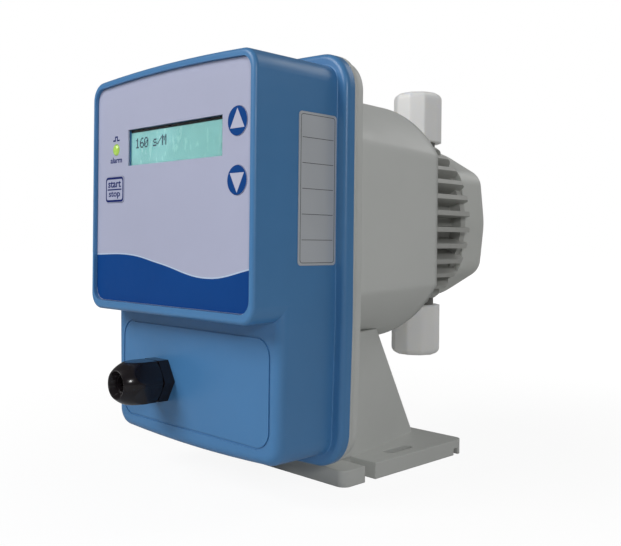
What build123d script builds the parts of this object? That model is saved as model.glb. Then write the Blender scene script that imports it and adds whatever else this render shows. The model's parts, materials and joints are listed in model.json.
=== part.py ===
from build123d import *
import math
import os

# Diaphragm metering pump, solenoid driven, on a slotted mounting foot.  Millimetres, +Z up.
#
# The origin lies on the underside of the foot, midway between its two fixing slots.  The display
# faces -Y, the pump head points to +Y, and the plunger moves along the pump axis, parallel to Y.

# ---------------------------------------------------------------- driving dimensions (mm)
axis_z = 114.0  # height of the pump axis above the floor
joint_y = -58.0  # the cover meets the rear housing in this plane

# front cover
cover_half = 56.45  # half width above the ledge
cover_half_low = 54.9  # half width at the lower end
cover_low_z = 16.4
cover_top_z = 175.4
crown = 1.8  # rise of the arched upper and lower edges
cover_corner = 8.0
ledge_z = 72.4  # underside of the deep display part
upper_depth = 47.8
lower_depth = 33.7
ledge_corner = 7.0
wall = 3.0
front_wall = 2.8
rim_round = 1.7
lower_round = 4.0
panel_line_size = (101.0, 43.5)  # engraved line round the lower face
panel_line_width = 0.9
panel_line_depth = 0.5
panel_line_corner = 8.0

# flanges on both sides of the joint
flange_reach = 4.95  # how far the flange stands out from the cover
flange_corner = 15.0
flange_thk = 4.84
flange_round = 2.2
cover_foot_fillet = 0.5  # between the flange and the cover's wall

# membrane, window, keys and lamp
rim_width = 2.45
rim_height = 1.6
membrane_thk = 0.6
membrane_corner = 5.5
membrane_gap = 0.15
membrane_ledge_gap = 1.4  # further gap between the membrane and the rim above the ledge
membrane_top_gap = 0.4
window_size = (65.0, 15.6)
window_at = (3.5, 143.2)
window_lip = 1.2
window_thk = 0.8
window_gap = 0.1
window_setback = 0.4  # from the window to the display glass
arrow_key_r = 5.55
arrow_key_inset = 11.35  # from the cover's side to the middle of an arrow key
up_key_z = 147.7
down_key_z = 125.8
start_key_size = (14.7, 11.4)
start_key_inset = 17.15
start_key_z = 125.5
start_key_corner = 1.5
key_gap = 0.15
key_proud = 0.3
key_cap_thk = 1.0
key_travel = 0.4
key_stem_r = 1.6
lamp_r = 2.5
lamp_round = 1.0
lamp_inset = 17.85
lamp_z = 143.0

# electronics
board_edge_gap = 4.5  # from the board's edge to the cover's wall
board_low_z = 62.0
board_top_z = 161.0
board_corner = 2.0
board_thk = 1.6
board_gap = 14.8  # from the cover's inner face to the board
board_post_r = 3.2
board_post_inset = 5.0
board_post_z = (80.0, 118.0)
board_screw_r = 1.25
board_screw_depth = 9.0
board_screw_head_r = 2.6
board_screw_head_thk = 1.8
bezel_margin = (3.15, 5.45)  # how far the display's bezel stands out from the window
bezel_thk = 3.5
lcd_board_margin = (3.5, 10.2)
lcd_gap = 0.3  # between the cover and the display's bezel
lcd_post_r = 1.5
lcd_post_inset = 2.75
switch_size = 6.0
switch_height = 3.5
switch_button_r = 1.7
switch_button_rise = 1.5
terminal_size = (34.0, 11.0, 12.0)
terminal_at = (-8.0, 71.0)
terminal_ways = 5
terminal_screw_r = 2.0
terminal_screw_depth = 3.0
terminal_mouth = 4.0
capacitor_r = 8.0
capacitor_length = 26.0
capacitor_at = (26.0, 88.0)
capacitor_round = 1.0
relay_size = (16.0, 20.0, 15.0)
relay_at = (-26.0, 96.0)
relay_chamfer = 0.8

# cable gland
gland_at = (-20.5, 42.7)
gland_thread_r = 8.0
gland_hex = 17.8  # across flats
gland_hex_thk = 5.0
gland_nose_length = 10.0
gland_nose_r = 7.3
gland_tail = 11.0
gland_nut_length = 17.5
gland_nut_hex_length = 8.0
gland_mouth_r = 4.4
gland_lip = 1.6
gland_dome_rise = 1.4  # from the dome's full width down to the start of its nose
gland_dome_nose = 2.9
gland_nut_gap = 0.2
gland_seal_r = 5.6
cable_r = 3.6
gland_seal_length = 9.0
locknut_hex = 20.0
locknut_thk = 4.0

# side label
label_size = (20.5, 58.6)
label_at = (-73.7, 123.5)  # Y and Z of its middle
label_thk = 0.3
label_corner = 1.5

# rear housing
flange_step = 1.4
flange_step_at = 2.2
rear_flange_thk = 7.6
rear_flange_round = 2.0
boss_r = 58.5
boss_r_front = 60.2
boss_half = 50.0  # the round body is cut flat here
boss_rear_y = 13.0
boss_wall = 3.0
gasket_width = 2.0
gasket_depth = 1.8
gasket_gap = 0.1
gasket_inset = 2.0
cover_screw_r = 1.6
cover_screw_length = 16.0
cover_screw_head_r = 3.2
cover_screw_head_thk = 2.4
cover_screw_sink = 3.6
cover_post_r = 4.6
cover_post_inset = 6.6
cover_post_spread = 0.4  # how much nearer the side the lower posts stand
thread_gap = 0.05
hole_gap = 0.3

# solenoid
yoke_r = 28.0
yoke_wall = 3.4
yoke_front_y = -28.0
yoke_back_thk = 6.0
front_plate_thk = 4.0
pole_r = 12.5
pole_front_y = -6.0
neck_r = 13.0
neck_length = 6.0
bush_r = 8.0
bush_length = 12.0
shaft_r = 4.0
shaft_chamfer = 0.6
bush_gap = 0.3
running_gap = 0.05
plunger_r = 12.4
plunger_chamfer = 0.8
plunger_front_y = -34.0
stroke = 1.25
magnet_gap = 2.0  # between plunger and pole at rest
spring_pocket_depth = 6.0
spring_pocket_r = 7.6
spring_gap = 0.15
spring_wire_sides = 6
spring_mean_r = 6.0
spring_wire_r = 0.7
spring_turns = 3
bobbin_wall = 1.5
bobbin_gap = 0.4
coil_gap = 1.2
cap_r = 18.0
cap_round = 2.0
cap_clearance = 1.2
cap_front_thk = 3.0
cap_length = 12.0
cap_flange_thk = 3.0
bumper_r = 8.0
bumper_thk = 2.7
bumper_gap = 0.3
tie_circle_r = 34.0
tie_r = 2.0
tie_ear_r = 5.0
tie_head_r = 3.6
tie_head_thk = 2.4
tie_depth = 7.0

# finned ring and diaphragm
ring_length = 36.0
ring_drum_r = 35.0
ring_bore_r = 24.0
ring_web_thk = 7.0
ring_disc_r = 41.0
ring_disc_thk = 4.0
fin_count = 36
fin_r = 46.5
fin_thk = 2.3
fin_round = 6.0
fin_root_r = 28.0  # the fins reach into the drum
weep_hole_r = 2.5
diaphragm_r = 30.0
diaphragm_rim = 5.0
diaphragm_thk = 2.5
diaphragm_web_thk = 1.0
diaphragm_core_r = 14.0
diaphragm_core_thk = 3.0
core_gap = 0.3
core_hub_r = 7.0
core_hub_length = 5.0
web_bulge = 1.8

# pump head
head_r = 40.5
head_length = 23.0
head_round = 8.0
lobe_r = 10.0
bolt_circle_r = 34.2
bolt_angle = 33.0  # of the bolts, above and below the horizontal
bolt_r = 2.5
bolt_head_r = 4.25
bolt_head_length = 5.0
bolt_sink_r = 4.8
bolt_sink_depth = 8.0
bolt_engage = 8.0
bolt_boss_r = 5.6
chamber_r = 19.0
chamber_depth = 3.0
chamber_cone = 0.8
port_r = 2.2
port_at = 13.0  # distance of the cross port from the pump axis

# valves, measured outwards from the pump axis
valve_y = 62.0
socket_floor = 23.0
socket_r = 7.5
valve_boss_r = 10.0
ring_seal_thk = 2.0
ring_seal_mean_r = 6.2
ring_seal_gap = 0.1
collar_from = 40.5
collar_r = 9.6
nut_from = 44.4
spigot_r = 8.0
spigot_to = 57.5
cartridge_r = 4.6
cartridge_to = 37.0
seat_thk = 2.5
seat_r = 1.7
ball_r = 2.5
ball_gap = 0.1
ball_lift = 2.0
cage_r = 3.0
cage_end_thk = 1.3
passage_r = 1.6
nipple_r = 3.0
nipple_foot_r = 6.6
nipple_nose = 1.0
nipple_foot_thk = 2.0
nipple_to = 64.0
tube_hole_r = 4.3
clamp_ring_r = 6.6
clamp_ring_thk = 2.6
nut_r = 13.2
nut_sides = 10
nut_to = 71.6
nut_round = 3.6
nut_edge_round = 2.0

# mounting foot
foot_half = 46.6
foot_front_y = -46.0
foot_rear_y = 40.5
foot_thk = 7.0
foot_corner = 4.0
notch_y = (-32.6, -25.7)
notch_reach = 15.0
groove_y = 34.5
groove_width = 3.4
groove_depth = 3.0
groove_reach = 20.0
slot_x = 38.0
slot_length = 18.0
slot_width = 5.6
pillar_front_y = -46.0
pillar_knee_y = -25.0
pillar_half_front = 35.0
pillar_half_knee = 32.0
pillar_half_rear = 19.6
pillar_rear_y = 36.0
pillar_top_z = 63.0
pillar_top_half = 35.0
pillar_top_rear_half = 29.0
pillar_top_rear_y = -4.0
pillar_wall = 3.2
pillar_corner = 4.0
rib_thk = 4.0
saddle_gap = 0.1
saddle_thk = 5.0
foot_screw_y = (-38.0, -18.0)
foot_screw_r = 2.0
foot_screw_head_r = 4.0
foot_screw_head_thk = 2.6
foot_boss_r = 5.0
foot_boss_height = 11.7
foot_screw_depth = 10.0

# ---------------------------------------------------------------- places worked out from them
up_key_at = (cover_half - arrow_key_inset, up_key_z)
down_key_at = (cover_half - arrow_key_inset, down_key_z)
start_key_at = (start_key_inset - cover_half, start_key_z)
lamp_at = (lamp_inset - cover_half, lamp_z)
board_half = cover_half - wall - board_edge_gap
board_post_x = board_half - board_post_inset
bezel_size = tuple(side + 2 * margin for side, margin in zip(window_size, bezel_margin))
lcd_board_size = tuple(side + 2 * margin for side, margin in zip(window_size, lcd_board_margin))
lcd_post_grid = tuple(side - 2 * lcd_post_inset for side in lcd_board_size)
cover_front_y = joint_y - upper_depth
lower_face_y = joint_y - lower_depth
membrane_y = cover_front_y + rim_height
recess_y = membrane_y + membrane_thk
cover_inner_y = recess_y + front_wall
board_y = cover_inner_y + board_gap
flange_half = cover_half + flange_reach
flange_half_low = cover_half_low + flange_reach
flange_low_z = cover_low_z - flange_reach
flange_top_z = cover_top_z + flange_reach
membrane_half = cover_half - rim_width
membrane_low_z = ledge_z + rim_width + membrane_ledge_gap
membrane_top_z = cover_top_z - rim_width - membrane_top_gap
rear_flange_y = joint_y + rear_flange_thk
boss_inner_y = boss_rear_y - boss_wall
ring_rear_y = boss_rear_y + ring_length
head_rear_y = ring_rear_y + head_length
plunger_rear_y = pole_front_y - magnet_gap
cap_front_y = yoke_front_y - cap_length

pump_axis = Axis((0, 0, axis_z), (0, 1, 0))
axial_section = Plane(origin=(0, 0, axis_z), x_dir=(0, 1, 0), z_dir=(1, 0, 0))  # local x, y = Y, radius
valve_axis = Axis((0, valve_y, axis_z), (0, 0, 1))
gland_axis = Axis((gland_at[0], 0, gland_at[1]), (0, 1, 0))
gland_section = Plane(origin=(gland_at[0], 0, gland_at[1]), x_dir=(0, 1, 0), z_dir=(1, 0, 0))


def across(y):
    """A plane square to the pump axis at y, seen from the display side: local x, y = X, Z."""
    return Plane.XZ.offset(-y)


def on_axis(y):
    """The same, with its origin on the pump axis."""
    return Plane(origin=(0, y, axis_z), x_dir=(1, 0, 0), z_dir=(0, -1, 0))


def level(z):
    """A level plane at height z."""
    return Plane.XY.offset(z)


def valve_section(side):
    """A plane through the valve axis, local x = radius, local y = distance outwards from the pump axis."""
    return Plane(origin=(0, valve_y, axis_z), x_dir=(1, 0, 0), z_dir=(0, -side, 0))


def crowned_plate(half, half_low, low, top, corner, low_corner=None, low_crown=crown):
    """An upright plate with arched ends, straight sides above the ledge and tapering sides below it."""
    low_corner = low_corner or corner
    knee = max(low + low_crown + low_corner, ledge_z)
    with BuildSketch() as plate:
        with BuildLine():
            if low_crown:
                ThreePointArc((-half_low, low + low_crown), (0, low), (half_low, low + low_crown))
            else:
                Line((-half_low, low), (half_low, low))
            if half_low != half:
                Line((half_low, low + low_crown), (half, knee))
                Line((half, knee), (half, top - crown))
                Line((-half, knee), (-half_low, low + low_crown))
                Line((-half, top - crown), (-half, knee))
            else:
                Line((half, low + low_crown), (half, top - crown))
                Line((-half, top - crown), (-half, low + low_crown))
            ThreePointArc((half, top - crown), (0, top), (-half, top - crown))
        make_face()
        fillet(plate.vertices().group_by(Axis.Y)[-1], corner)
        fillet(plate.vertices().group_by(Axis.Y)[0], low_corner)
    return plate.sketch


def outline(inset):
    """The outline of the whole cover, moved inwards by inset."""
    return crowned_plate(
        cover_half - inset,
        cover_half_low - inset,
        cover_low_z + inset,
        cover_top_z - inset,
        max(cover_corner - inset, 2.0),
    )


def flange_outline(inset):
    """The outline of the flange at the joint, moved inwards by inset."""
    return crowned_plate(
        flange_half - inset,
        flange_half_low - inset,
        flange_low_z + inset,
        flange_top_z - inset,
        flange_corner - inset,
    )


def display_outline(inset):
    """The outline of the deep display part above the ledge, moved inwards by inset."""
    return crowned_plate(
        cover_half - inset,
        cover_half - inset,
        ledge_z + inset,
        cover_top_z - inset,
        max(cover_corner - inset, 2.0),
        low_corner=max(ledge_corner - inset, 2.0),
        low_crown=0,
    )


def membrane_outline(gap):
    """The outline of the membrane, with a gap round it."""
    return crowned_plate(
        membrane_half - gap,
        membrane_half - gap,
        membrane_low_z + gap,
        membrane_top_z - gap,
        membrane_corner,
        low_crown=0,
    )


cover_post_sites = [
    (side * (half - cover_post_inset), z)
    for side in (-1, 1)
    for half, z in (
        (cover_half_low + cover_post_spread, cover_low_z + crown + cover_post_inset),
        (cover_half, cover_top_z - crown - cover_post_inset),
    )
]
board_post_sites = [(side * board_post_x, z) for side in (-1, 1) for z in board_post_z]
bolt_sites = [
    (
        bolt_circle_r * math.cos(math.radians(turn)),
        bolt_circle_r * math.sin(math.radians(turn)),
    )
    for turn in (bolt_angle, 180 - bolt_angle, 180 + bolt_angle, -bolt_angle)
]
tie_sites = [
    (
        tie_circle_r * math.cos(math.radians(turn)),
        tie_circle_r * math.sin(math.radians(turn)),
    )
    for turn in (0, 90, 180, 270)
]
arrow_key_sites = (up_key_at, down_key_at)
key_sites = (up_key_at, down_key_at, start_key_at)


def finish(piece, name):
    """Label a finished piece and write its STEP file."""
    piece.part.label = name
    export_step(piece.part, f"parts/{name}.step")


os.makedirs("parts", exist_ok=True)

# ================================================================ front cover
with BuildPart() as front_cover:
    with BuildSketch(across(joint_y)):
        add(flange_outline(0))
    extrude(amount=flange_thk)
    fillet(front_cover.edges().group_by(Axis.Y)[0], flange_round)
    with BuildSketch(across(joint_y)):
        add(outline(0))
    extrude(amount=lower_depth)
    fillet(front_cover.edges().group_by(Axis.Y)[0], lower_round)
    with BuildSketch(across(joint_y)):
        add(display_outline(0))
    extrude(amount=upper_depth)
    fillet(front_cover.edges().group_by(Axis.Y)[0], rim_round)
    flange_faces = front_cover.faces().filter_by_position(Axis.Y, joint_y - flange_thk, joint_y - flange_thk)
    fillet(flange_faces.sort_by(SortBy.AREA)[-1].inner_wires()[0].edges(), cover_foot_fillet)
    # hollow
    with BuildSketch(across(joint_y)):
        add(outline(wall))
    extrude(amount=lower_depth - wall, mode=Mode.SUBTRACT)
    with BuildSketch(across(joint_y)):
        add(display_outline(wall))
    extrude(amount=joint_y - cover_inner_y, mode=Mode.SUBTRACT)
    # screw posts for the joint and for the control board
    with BuildSketch(across(joint_y)):
        with Locations(*cover_post_sites):
            Circle(cover_post_r)
    extrude(amount=lower_depth - wall)
    with BuildSketch(across(joint_y)):
        with Locations(*cover_post_sites):
            Circle(cover_screw_r + thread_gap)
    extrude(amount=cover_screw_length, mode=Mode.SUBTRACT)
    with BuildSketch(across(board_y)):
        with Locations(*board_post_sites):
            Circle(board_post_r)
    extrude(amount=board_gap)
    with BuildSketch(across(board_y)):
        with Locations(*board_post_sites):
            Circle(board_screw_r + thread_gap)
    extrude(amount=board_screw_depth, mode=Mode.SUBTRACT)
    # recess of the membrane, seats of the window and the keys, holes through the wall
    with BuildSketch(across(cover_front_y)):
        add(membrane_outline(0))
    extrude(amount=-(recess_y - cover_front_y), mode=Mode.SUBTRACT)
    with BuildSketch(across(recess_y)):
        with Locations(window_at):
            Rectangle(window_size[0] + 2 * window_lip, window_size[1] + 2 * window_lip)
    extrude(amount=-(window_thk + window_gap), mode=Mode.SUBTRACT)
    with BuildSketch(across(recess_y)):
        with Locations(*arrow_key_sites):
            Circle(arrow_key_r + key_gap)
        with Locations(start_key_at):
            RectangleRounded(
                start_key_size[0] + 2 * key_gap, start_key_size[1] + 2 * key_gap, start_key_corner
            )
    extrude(amount=-(key_cap_thk - key_proud - membrane_thk + key_travel + key_gap), mode=Mode.SUBTRACT)
    with BuildSketch(across(recess_y)):
        with Locations(window_at):
            Rectangle(*window_size)
        with Locations(*key_sites):
            Circle(key_stem_r + key_gap)
        with Locations(lamp_at):
            Circle(lamp_r + key_gap)
    extrude(amount=-front_wall, mode=Mode.SUBTRACT)
    # cable entry and the engraved line of the lower face
    with BuildSketch(across(lower_face_y)):
        with Locations(gland_at):
            Circle(gland_thread_r + thread_gap)
    extrude(amount=-wall, mode=Mode.SUBTRACT)
    with BuildSketch(across(lower_face_y)):
        with Locations((0, (cover_low_z + crown + ledge_z) / 2)):
            RectangleRounded(panel_line_size[0], panel_line_size[1], panel_line_corner)
            RectangleRounded(
                panel_line_size[0] - 2 * panel_line_width,
                panel_line_size[1] - 2 * panel_line_width,
                panel_line_corner - panel_line_width,
                mode=Mode.SUBTRACT,
            )
    extrude(amount=-panel_line_depth, mode=Mode.SUBTRACT)
finish(front_cover, "front_cover")

# ================================================================ membrane, window, keys, lamp
with BuildPart() as keypad_membrane:
    with BuildSketch(across(recess_y)):
        add(membrane_outline(membrane_gap))
        with Locations(window_at):
            Rectangle(*window_size, mode=Mode.SUBTRACT)
        with Locations(*arrow_key_sites):
            Circle(arrow_key_r + key_gap, mode=Mode.SUBTRACT)
        with Locations(start_key_at):
            RectangleRounded(
                start_key_size[0] + 2 * key_gap,
                start_key_size[1] + 2 * key_gap,
                start_key_corner,
                mode=Mode.SUBTRACT,
            )
        with Locations(lamp_at):
            Circle(lamp_r + key_gap, mode=Mode.SUBTRACT)
    extrude(amount=membrane_thk)
finish(keypad_membrane, "keypad_membrane")

with BuildPart() as display_window:
    with BuildSketch(across(recess_y + window_thk)):
        with Locations(window_at):
            Rectangle(
                window_size[0] + 2 * (window_lip - window_gap), window_size[1] + 2 * (window_lip - window_gap)
            )
    extrude(amount=window_thk)
finish(display_window, "display_window")

switch_front_y = board_y - switch_height
button_front_y = switch_front_y - switch_button_rise
stem_rear_y = button_front_y - key_travel - key_gap


def key(site, cap):
    """A key cap with the stem that presses its switch on the control board."""
    with BuildPart() as piece:
        with BuildSketch(across(membrane_y - key_proud + key_cap_thk)):
            with Locations(site):
                add(cap)
        extrude(amount=key_cap_thk)
        with BuildSketch(across(stem_rear_y)):
            with Locations(site):
                Circle(key_stem_r)
        extrude(amount=stem_rear_y - membrane_y)
    return piece


with BuildSketch() as round_cap:
    Circle(arrow_key_r)
with BuildSketch() as start_cap:
    RectangleRounded(*start_key_size, start_key_corner)

for key_name, key_site, key_cap in (
    ("up_key", up_key_at, round_cap.sketch),
    ("down_key", down_key_at, round_cap.sketch),
    ("start_stop_key", start_key_at, start_cap.sketch),
):
    finish(key(key_site, key_cap), key_name)

with BuildPart() as key_switches:
    with BuildSketch(across(board_y)):
        with Locations(*key_sites):
            Rectangle(switch_size, switch_size)
    extrude(amount=switch_height)
    with BuildSketch(across(switch_front_y)):
        with Locations(*key_sites):
            Circle(switch_button_r)
    extrude(amount=switch_button_rise)
finish(key_switches, "key_switches")

with BuildPart() as status_lamp:
    with BuildSketch(across(board_y)):
        with Locations(lamp_at):
            Circle(lamp_r)
    extrude(amount=board_y - membrane_y)
    fillet(status_lamp.edges().group_by(Axis.Y)[0], lamp_round)
finish(status_lamp, "status_lamp")

# ================================================================ electronics
bezel_front_y = cover_inner_y + lcd_gap
bezel_rear_y = bezel_front_y + bezel_thk
glass_front_y = recess_y + window_thk + window_setback
with BuildPart() as lcd_module:
    with BuildSketch(across(bezel_rear_y)):
        with Locations(window_at):
            Rectangle(*bezel_size)
    extrude(amount=bezel_thk)
    with BuildSketch(across(bezel_front_y)):
        with Locations(window_at):
            Rectangle(window_size[0], window_size[1])
    extrude(amount=-bezel_thk, mode=Mode.SUBTRACT)
    with BuildSketch(across(bezel_rear_y + board_thk)):
        with Locations(window_at):
            Rectangle(*lcd_board_size)
    extrude(amount=board_thk)
    with BuildSketch(across(board_y)):
        with Locations(window_at):
            with GridLocations(lcd_post_grid[0], lcd_post_grid[1], 2, 2):
                Circle(lcd_post_r)
    extrude(amount=board_y - bezel_rear_y - board_thk)
finish(lcd_module, "lcd_module")

with BuildPart() as lcd_glass:
    with BuildSketch(across(bezel_rear_y)):
        with Locations(window_at):
            Rectangle(window_size[0] - 2 * window_gap, window_size[1] - 2 * window_gap)
    extrude(amount=bezel_rear_y - glass_front_y)
finish(lcd_glass, "lcd_glass")

with BuildPart() as control_board:
    with BuildSketch(across(board_y + board_thk)):
        with Locations((0, (board_low_z + board_top_z) / 2)):
            RectangleRounded(2 * board_half, board_top_z - board_low_z, board_corner)
        with Locations(*board_post_sites):
            Circle(board_screw_r + hole_gap, mode=Mode.SUBTRACT)
    extrude(amount=board_thk)
finish(control_board, "control_board")


def screw(seat, direction, shank_r, shank_length, head_r, head_thk):
    """A cheese-head screw: the head's underside lies at seat, and the shank runs along direction."""
    side = Plane(origin=seat, x_dir=direction, z_dir=(1, 0, 0))
    with BuildPart() as piece:
        with BuildSketch(side):
            Polygon(
                (-head_thk, 0),
                (-head_thk, head_r - head_thk / 4),
                (-head_thk * 3 / 4, head_r),
                (0, head_r),
                (0, shank_r),
                (shank_length, shank_r),
                (shank_length, 0),
            )
        revolve(axis=Axis(seat, direction))
    return piece.part


board_rear_y = board_y + board_thk
with BuildPart() as board_screws:
    for x, z in board_post_sites:
        add(
            screw(
                (x, board_rear_y, z),
                (0, -1, 0),
                board_screw_r,
                board_thk + board_screw_depth - hole_gap,
                board_screw_head_r,
                board_screw_head_thk,
            )
        )
finish(board_screws, "board_screws")

with BuildPart() as terminal_block:
    with BuildSketch(across(board_rear_y)):
        with Locations(terminal_at):
            Rectangle(terminal_size[0], terminal_size[1])
    extrude(amount=-terminal_size[2])
    with BuildSketch(across(board_rear_y + terminal_size[2])):
        with Locations(terminal_at):
            with GridLocations(terminal_size[0] / terminal_ways, 0, terminal_ways, 1):
                Circle(terminal_screw_r)
    extrude(amount=terminal_screw_depth, mode=Mode.SUBTRACT)
    with BuildSketch(level(terminal_at[1] - terminal_size[1] / 2)):
        with Locations((terminal_at[0], board_rear_y + terminal_size[2] / 3)):
            with GridLocations(terminal_size[0] / terminal_ways, 0, terminal_ways, 1):
                Rectangle(terminal_mouth, terminal_mouth)
    extrude(amount=terminal_mouth, mode=Mode.SUBTRACT)
finish(terminal_block, "terminal_block")

with BuildPart() as capacitor:
    with BuildSketch(level(capacitor_at[1])):
        with Locations((capacitor_at[0], board_rear_y + capacitor_r)):
            Circle(capacitor_r)
    extrude(amount=capacitor_length)
    fillet(capacitor.edges().filter_by(GeomType.CIRCLE), capacitor_round)
finish(capacitor, "capacitor")

with BuildPart() as power_relay:
    with BuildSketch(across(board_rear_y)):
        with Locations(relay_at):
            Rectangle(relay_size[0], relay_size[1])
    extrude(amount=-relay_size[2])
    chamfer(power_relay.edges().group_by(Axis.Y)[-1], relay_chamfer)
finish(power_relay, "power_relay")

# ================================================================ side label
label_face = Plane(origin=(cover_half, label_at[0], label_at[1]), x_dir=(0, 1, 0), z_dir=(1, 0, 0))
with BuildPart() as rating_label:
    with BuildSketch(label_face):
        RectangleRounded(label_size[0], label_size[1], label_corner)
    extrude(amount=label_thk)
finish(rating_label, "rating_label")

# ================================================================ cable gland
gland_nose_y = lower_face_y - gland_hex_thk
gland_tip_y = gland_nose_y - gland_nose_length
dome_rear_y = gland_nose_y - gland_nut_gap
dome_front_y = dome_rear_y - gland_nut_length
dome_shoulder_y = dome_rear_y - gland_nut_hex_length
seal_front_y = gland_tip_y + gland_nut_gap
with BuildPart() as gland_body:
    with BuildSketch(across(lower_face_y)):
        with Locations(gland_at):
            RegularPolygon(gland_hex / 2, 6, major_radius=False)
    extrude(amount=gland_hex_thk)
    with BuildSketch(across(lower_face_y)):
        with Locations(gland_at):
            Circle(gland_thread_r)
    extrude(amount=-gland_tail)
    with BuildSketch(across(gland_nose_y)):
        with Locations(gland_at):
            Circle(gland_nose_r)
    extrude(amount=gland_nose_length)
    with BuildSketch(across(lower_face_y + gland_tail)):
        with Locations(gland_at):
            Circle(gland_mouth_r)
    extrude(amount=gland_tail + gland_hex_thk + gland_nose_length, mode=Mode.SUBTRACT)
    with BuildSketch(across(gland_tip_y)):
        with Locations(gland_at):
            Circle(gland_seal_r + thread_gap)
    extrude(amount=-(gland_seal_length + gland_nut_gap), mode=Mode.SUBTRACT)
finish(gland_body, "gland_body")

with BuildPart() as gland_seal:
    with BuildSketch(across(seal_front_y)):
        with Locations(gland_at):
            Circle(gland_seal_r)
            Circle(cable_r, mode=Mode.SUBTRACT)
    extrude(amount=-gland_seal_length)
finish(gland_seal, "gland_seal")

with BuildPart() as gland_dome_nut:
    with BuildSketch(across(dome_rear_y)):
        with Locations(gland_at):
            RegularPolygon(gland_hex / 2, 6, major_radius=False)
    extrude(amount=gland_nut_hex_length)
    with BuildSketch(gland_section):
        with BuildLine():
            Line((dome_rear_y, 0), (dome_rear_y, gland_hex / 2))
            Line((dome_rear_y, gland_hex / 2), (dome_shoulder_y, gland_hex / 2))
            ThreePointArc(
                (dome_shoulder_y, gland_hex / 2),
                (dome_front_y + gland_dome_nose, gland_hex / 2 - gland_dome_rise),
                (dome_front_y, gland_mouth_r + gland_lip),
            )
            Line((dome_front_y, gland_mouth_r + gland_lip), (dome_front_y, 0))
            Line((dome_front_y, 0), (dome_rear_y, 0))
        make_face()
    revolve(axis=gland_axis)
    with BuildSketch(gland_section):
        Polygon(
            (dome_rear_y, 0),
            (dome_rear_y, gland_nose_r + thread_gap),
            (gland_tip_y - gland_nut_gap, gland_nose_r + thread_gap),
            (gland_tip_y - gland_nut_gap - gland_lip, gland_mouth_r),
            (dome_front_y, gland_mouth_r),
            (dome_front_y, 0),
        )
    revolve(axis=gland_axis, mode=Mode.SUBTRACT)
finish(gland_dome_nut, "gland_dome_nut")

with BuildPart() as gland_locknut:
    with BuildSketch(across(lower_face_y + wall + locknut_thk)):
        with Locations(gland_at):
            RegularPolygon(locknut_hex / 2, 6, major_radius=False)
            Circle(gland_thread_r + thread_gap, mode=Mode.SUBTRACT)
    extrude(amount=locknut_thk)
finish(gland_locknut, "gland_locknut")


# ================================================================ rear housing
def round_body(grow, rear_y):
    """The round body behind the joint, grown all round by grow and cut flat on both sides."""
    with BuildPart() as body:
        with BuildSketch(axial_section):
            Polygon(
                (joint_y, 0),
                (joint_y, boss_r_front + grow),
                (boss_rear_y, boss_r + grow),
                (boss_rear_y, 0),
            )
        revolve(axis=pump_axis)
        split(bisect_by=Plane.YZ.offset(boss_half + grow), keep=Keep.BOTTOM)
        split(bisect_by=Plane.YZ.offset(-boss_half - grow), keep=Keep.TOP)
        split(bisect_by=Plane.XZ.offset(-rear_y), keep=Keep.TOP)
    return body.part


def body_radius(y):
    """The outer radius of the round body at y."""
    return boss_r_front + (boss_r - boss_r_front) * (y - joint_y) / (boss_rear_y - joint_y)


foot_screw_seat_z = axis_z - boss_r_front - saddle_thk
foot_screw_sites = [(0, y) for y in foot_screw_y]
with BuildPart() as rear_housing:
    with BuildSketch(across(joint_y)):
        add(flange_outline(0))
    extrude(amount=-flange_step_at)
    with BuildSketch(across(joint_y)):
        add(flange_outline(flange_step))
    extrude(amount=-rear_flange_thk)
    fillet(rear_housing.edges().group_by(Axis.Y)[-1], rear_flange_round)
    add(round_body(0, boss_rear_y))
    add(round_body(-boss_wall, boss_inner_y), mode=Mode.SUBTRACT)
    # bosses of the foot screws, standing on the lower wall
    for x, y in foot_screw_sites:
        boss_base_z = axis_z - body_radius(y) + boss_wall / 2
        with BuildSketch(level(boss_base_z)):
            with Locations((x, y)):
                Circle(foot_boss_r)
        extrude(amount=axis_z - boss_r_front + foot_boss_height - boss_base_z)
    with BuildSketch(level(axis_z - boss_r_front)):
        with Locations(*foot_screw_sites):
            Circle(foot_screw_r + thread_gap)
    extrude(amount=foot_screw_depth, mode=Mode.SUBTRACT)
    # bosses of the head bolts and posts of the solenoid
    with BuildSketch(on_axis(boss_inner_y)):
        with Locations(*bolt_sites):
            Circle(bolt_boss_r)
    extrude(amount=bolt_engage)
    with BuildSketch(on_axis(boss_rear_y)):
        with Locations(*bolt_sites):
            Circle(bolt_r + thread_gap)
    extrude(amount=boss_wall + bolt_engage, mode=Mode.SUBTRACT)
    with BuildSketch(on_axis(boss_inner_y)):
        with Locations(*tie_sites):
            Circle(tie_ear_r)
    extrude(amount=boss_inner_y - yoke_front_y)
    with BuildSketch(on_axis(yoke_front_y)):
        with Locations(*tie_sites):
            Circle(tie_r + thread_gap)
    extrude(amount=-tie_depth, mode=Mode.SUBTRACT)
    with BuildSketch(on_axis(boss_rear_y)):
        Circle(neck_r + thread_gap)
    extrude(amount=boss_wall, mode=Mode.SUBTRACT)
    # gasket groove and sunk holes of the cover screws
    with BuildSketch(across(joint_y)):
        add(flange_outline(gasket_inset))
        add(flange_outline(gasket_inset + gasket_width), mode=Mode.SUBTRACT)
    extrude(amount=-gasket_depth, mode=Mode.SUBTRACT)
    with BuildSketch(across(joint_y)):
        with Locations(*cover_post_sites):
            Circle(cover_screw_r + hole_gap)
    extrude(amount=-rear_flange_thk, mode=Mode.SUBTRACT)
    with BuildSketch(across(rear_flange_y)):
        with Locations(*cover_post_sites):
            Circle(cover_screw_head_r + hole_gap)
    extrude(amount=cover_screw_sink, mode=Mode.SUBTRACT)
finish(rear_housing, "rear_housing")

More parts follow.
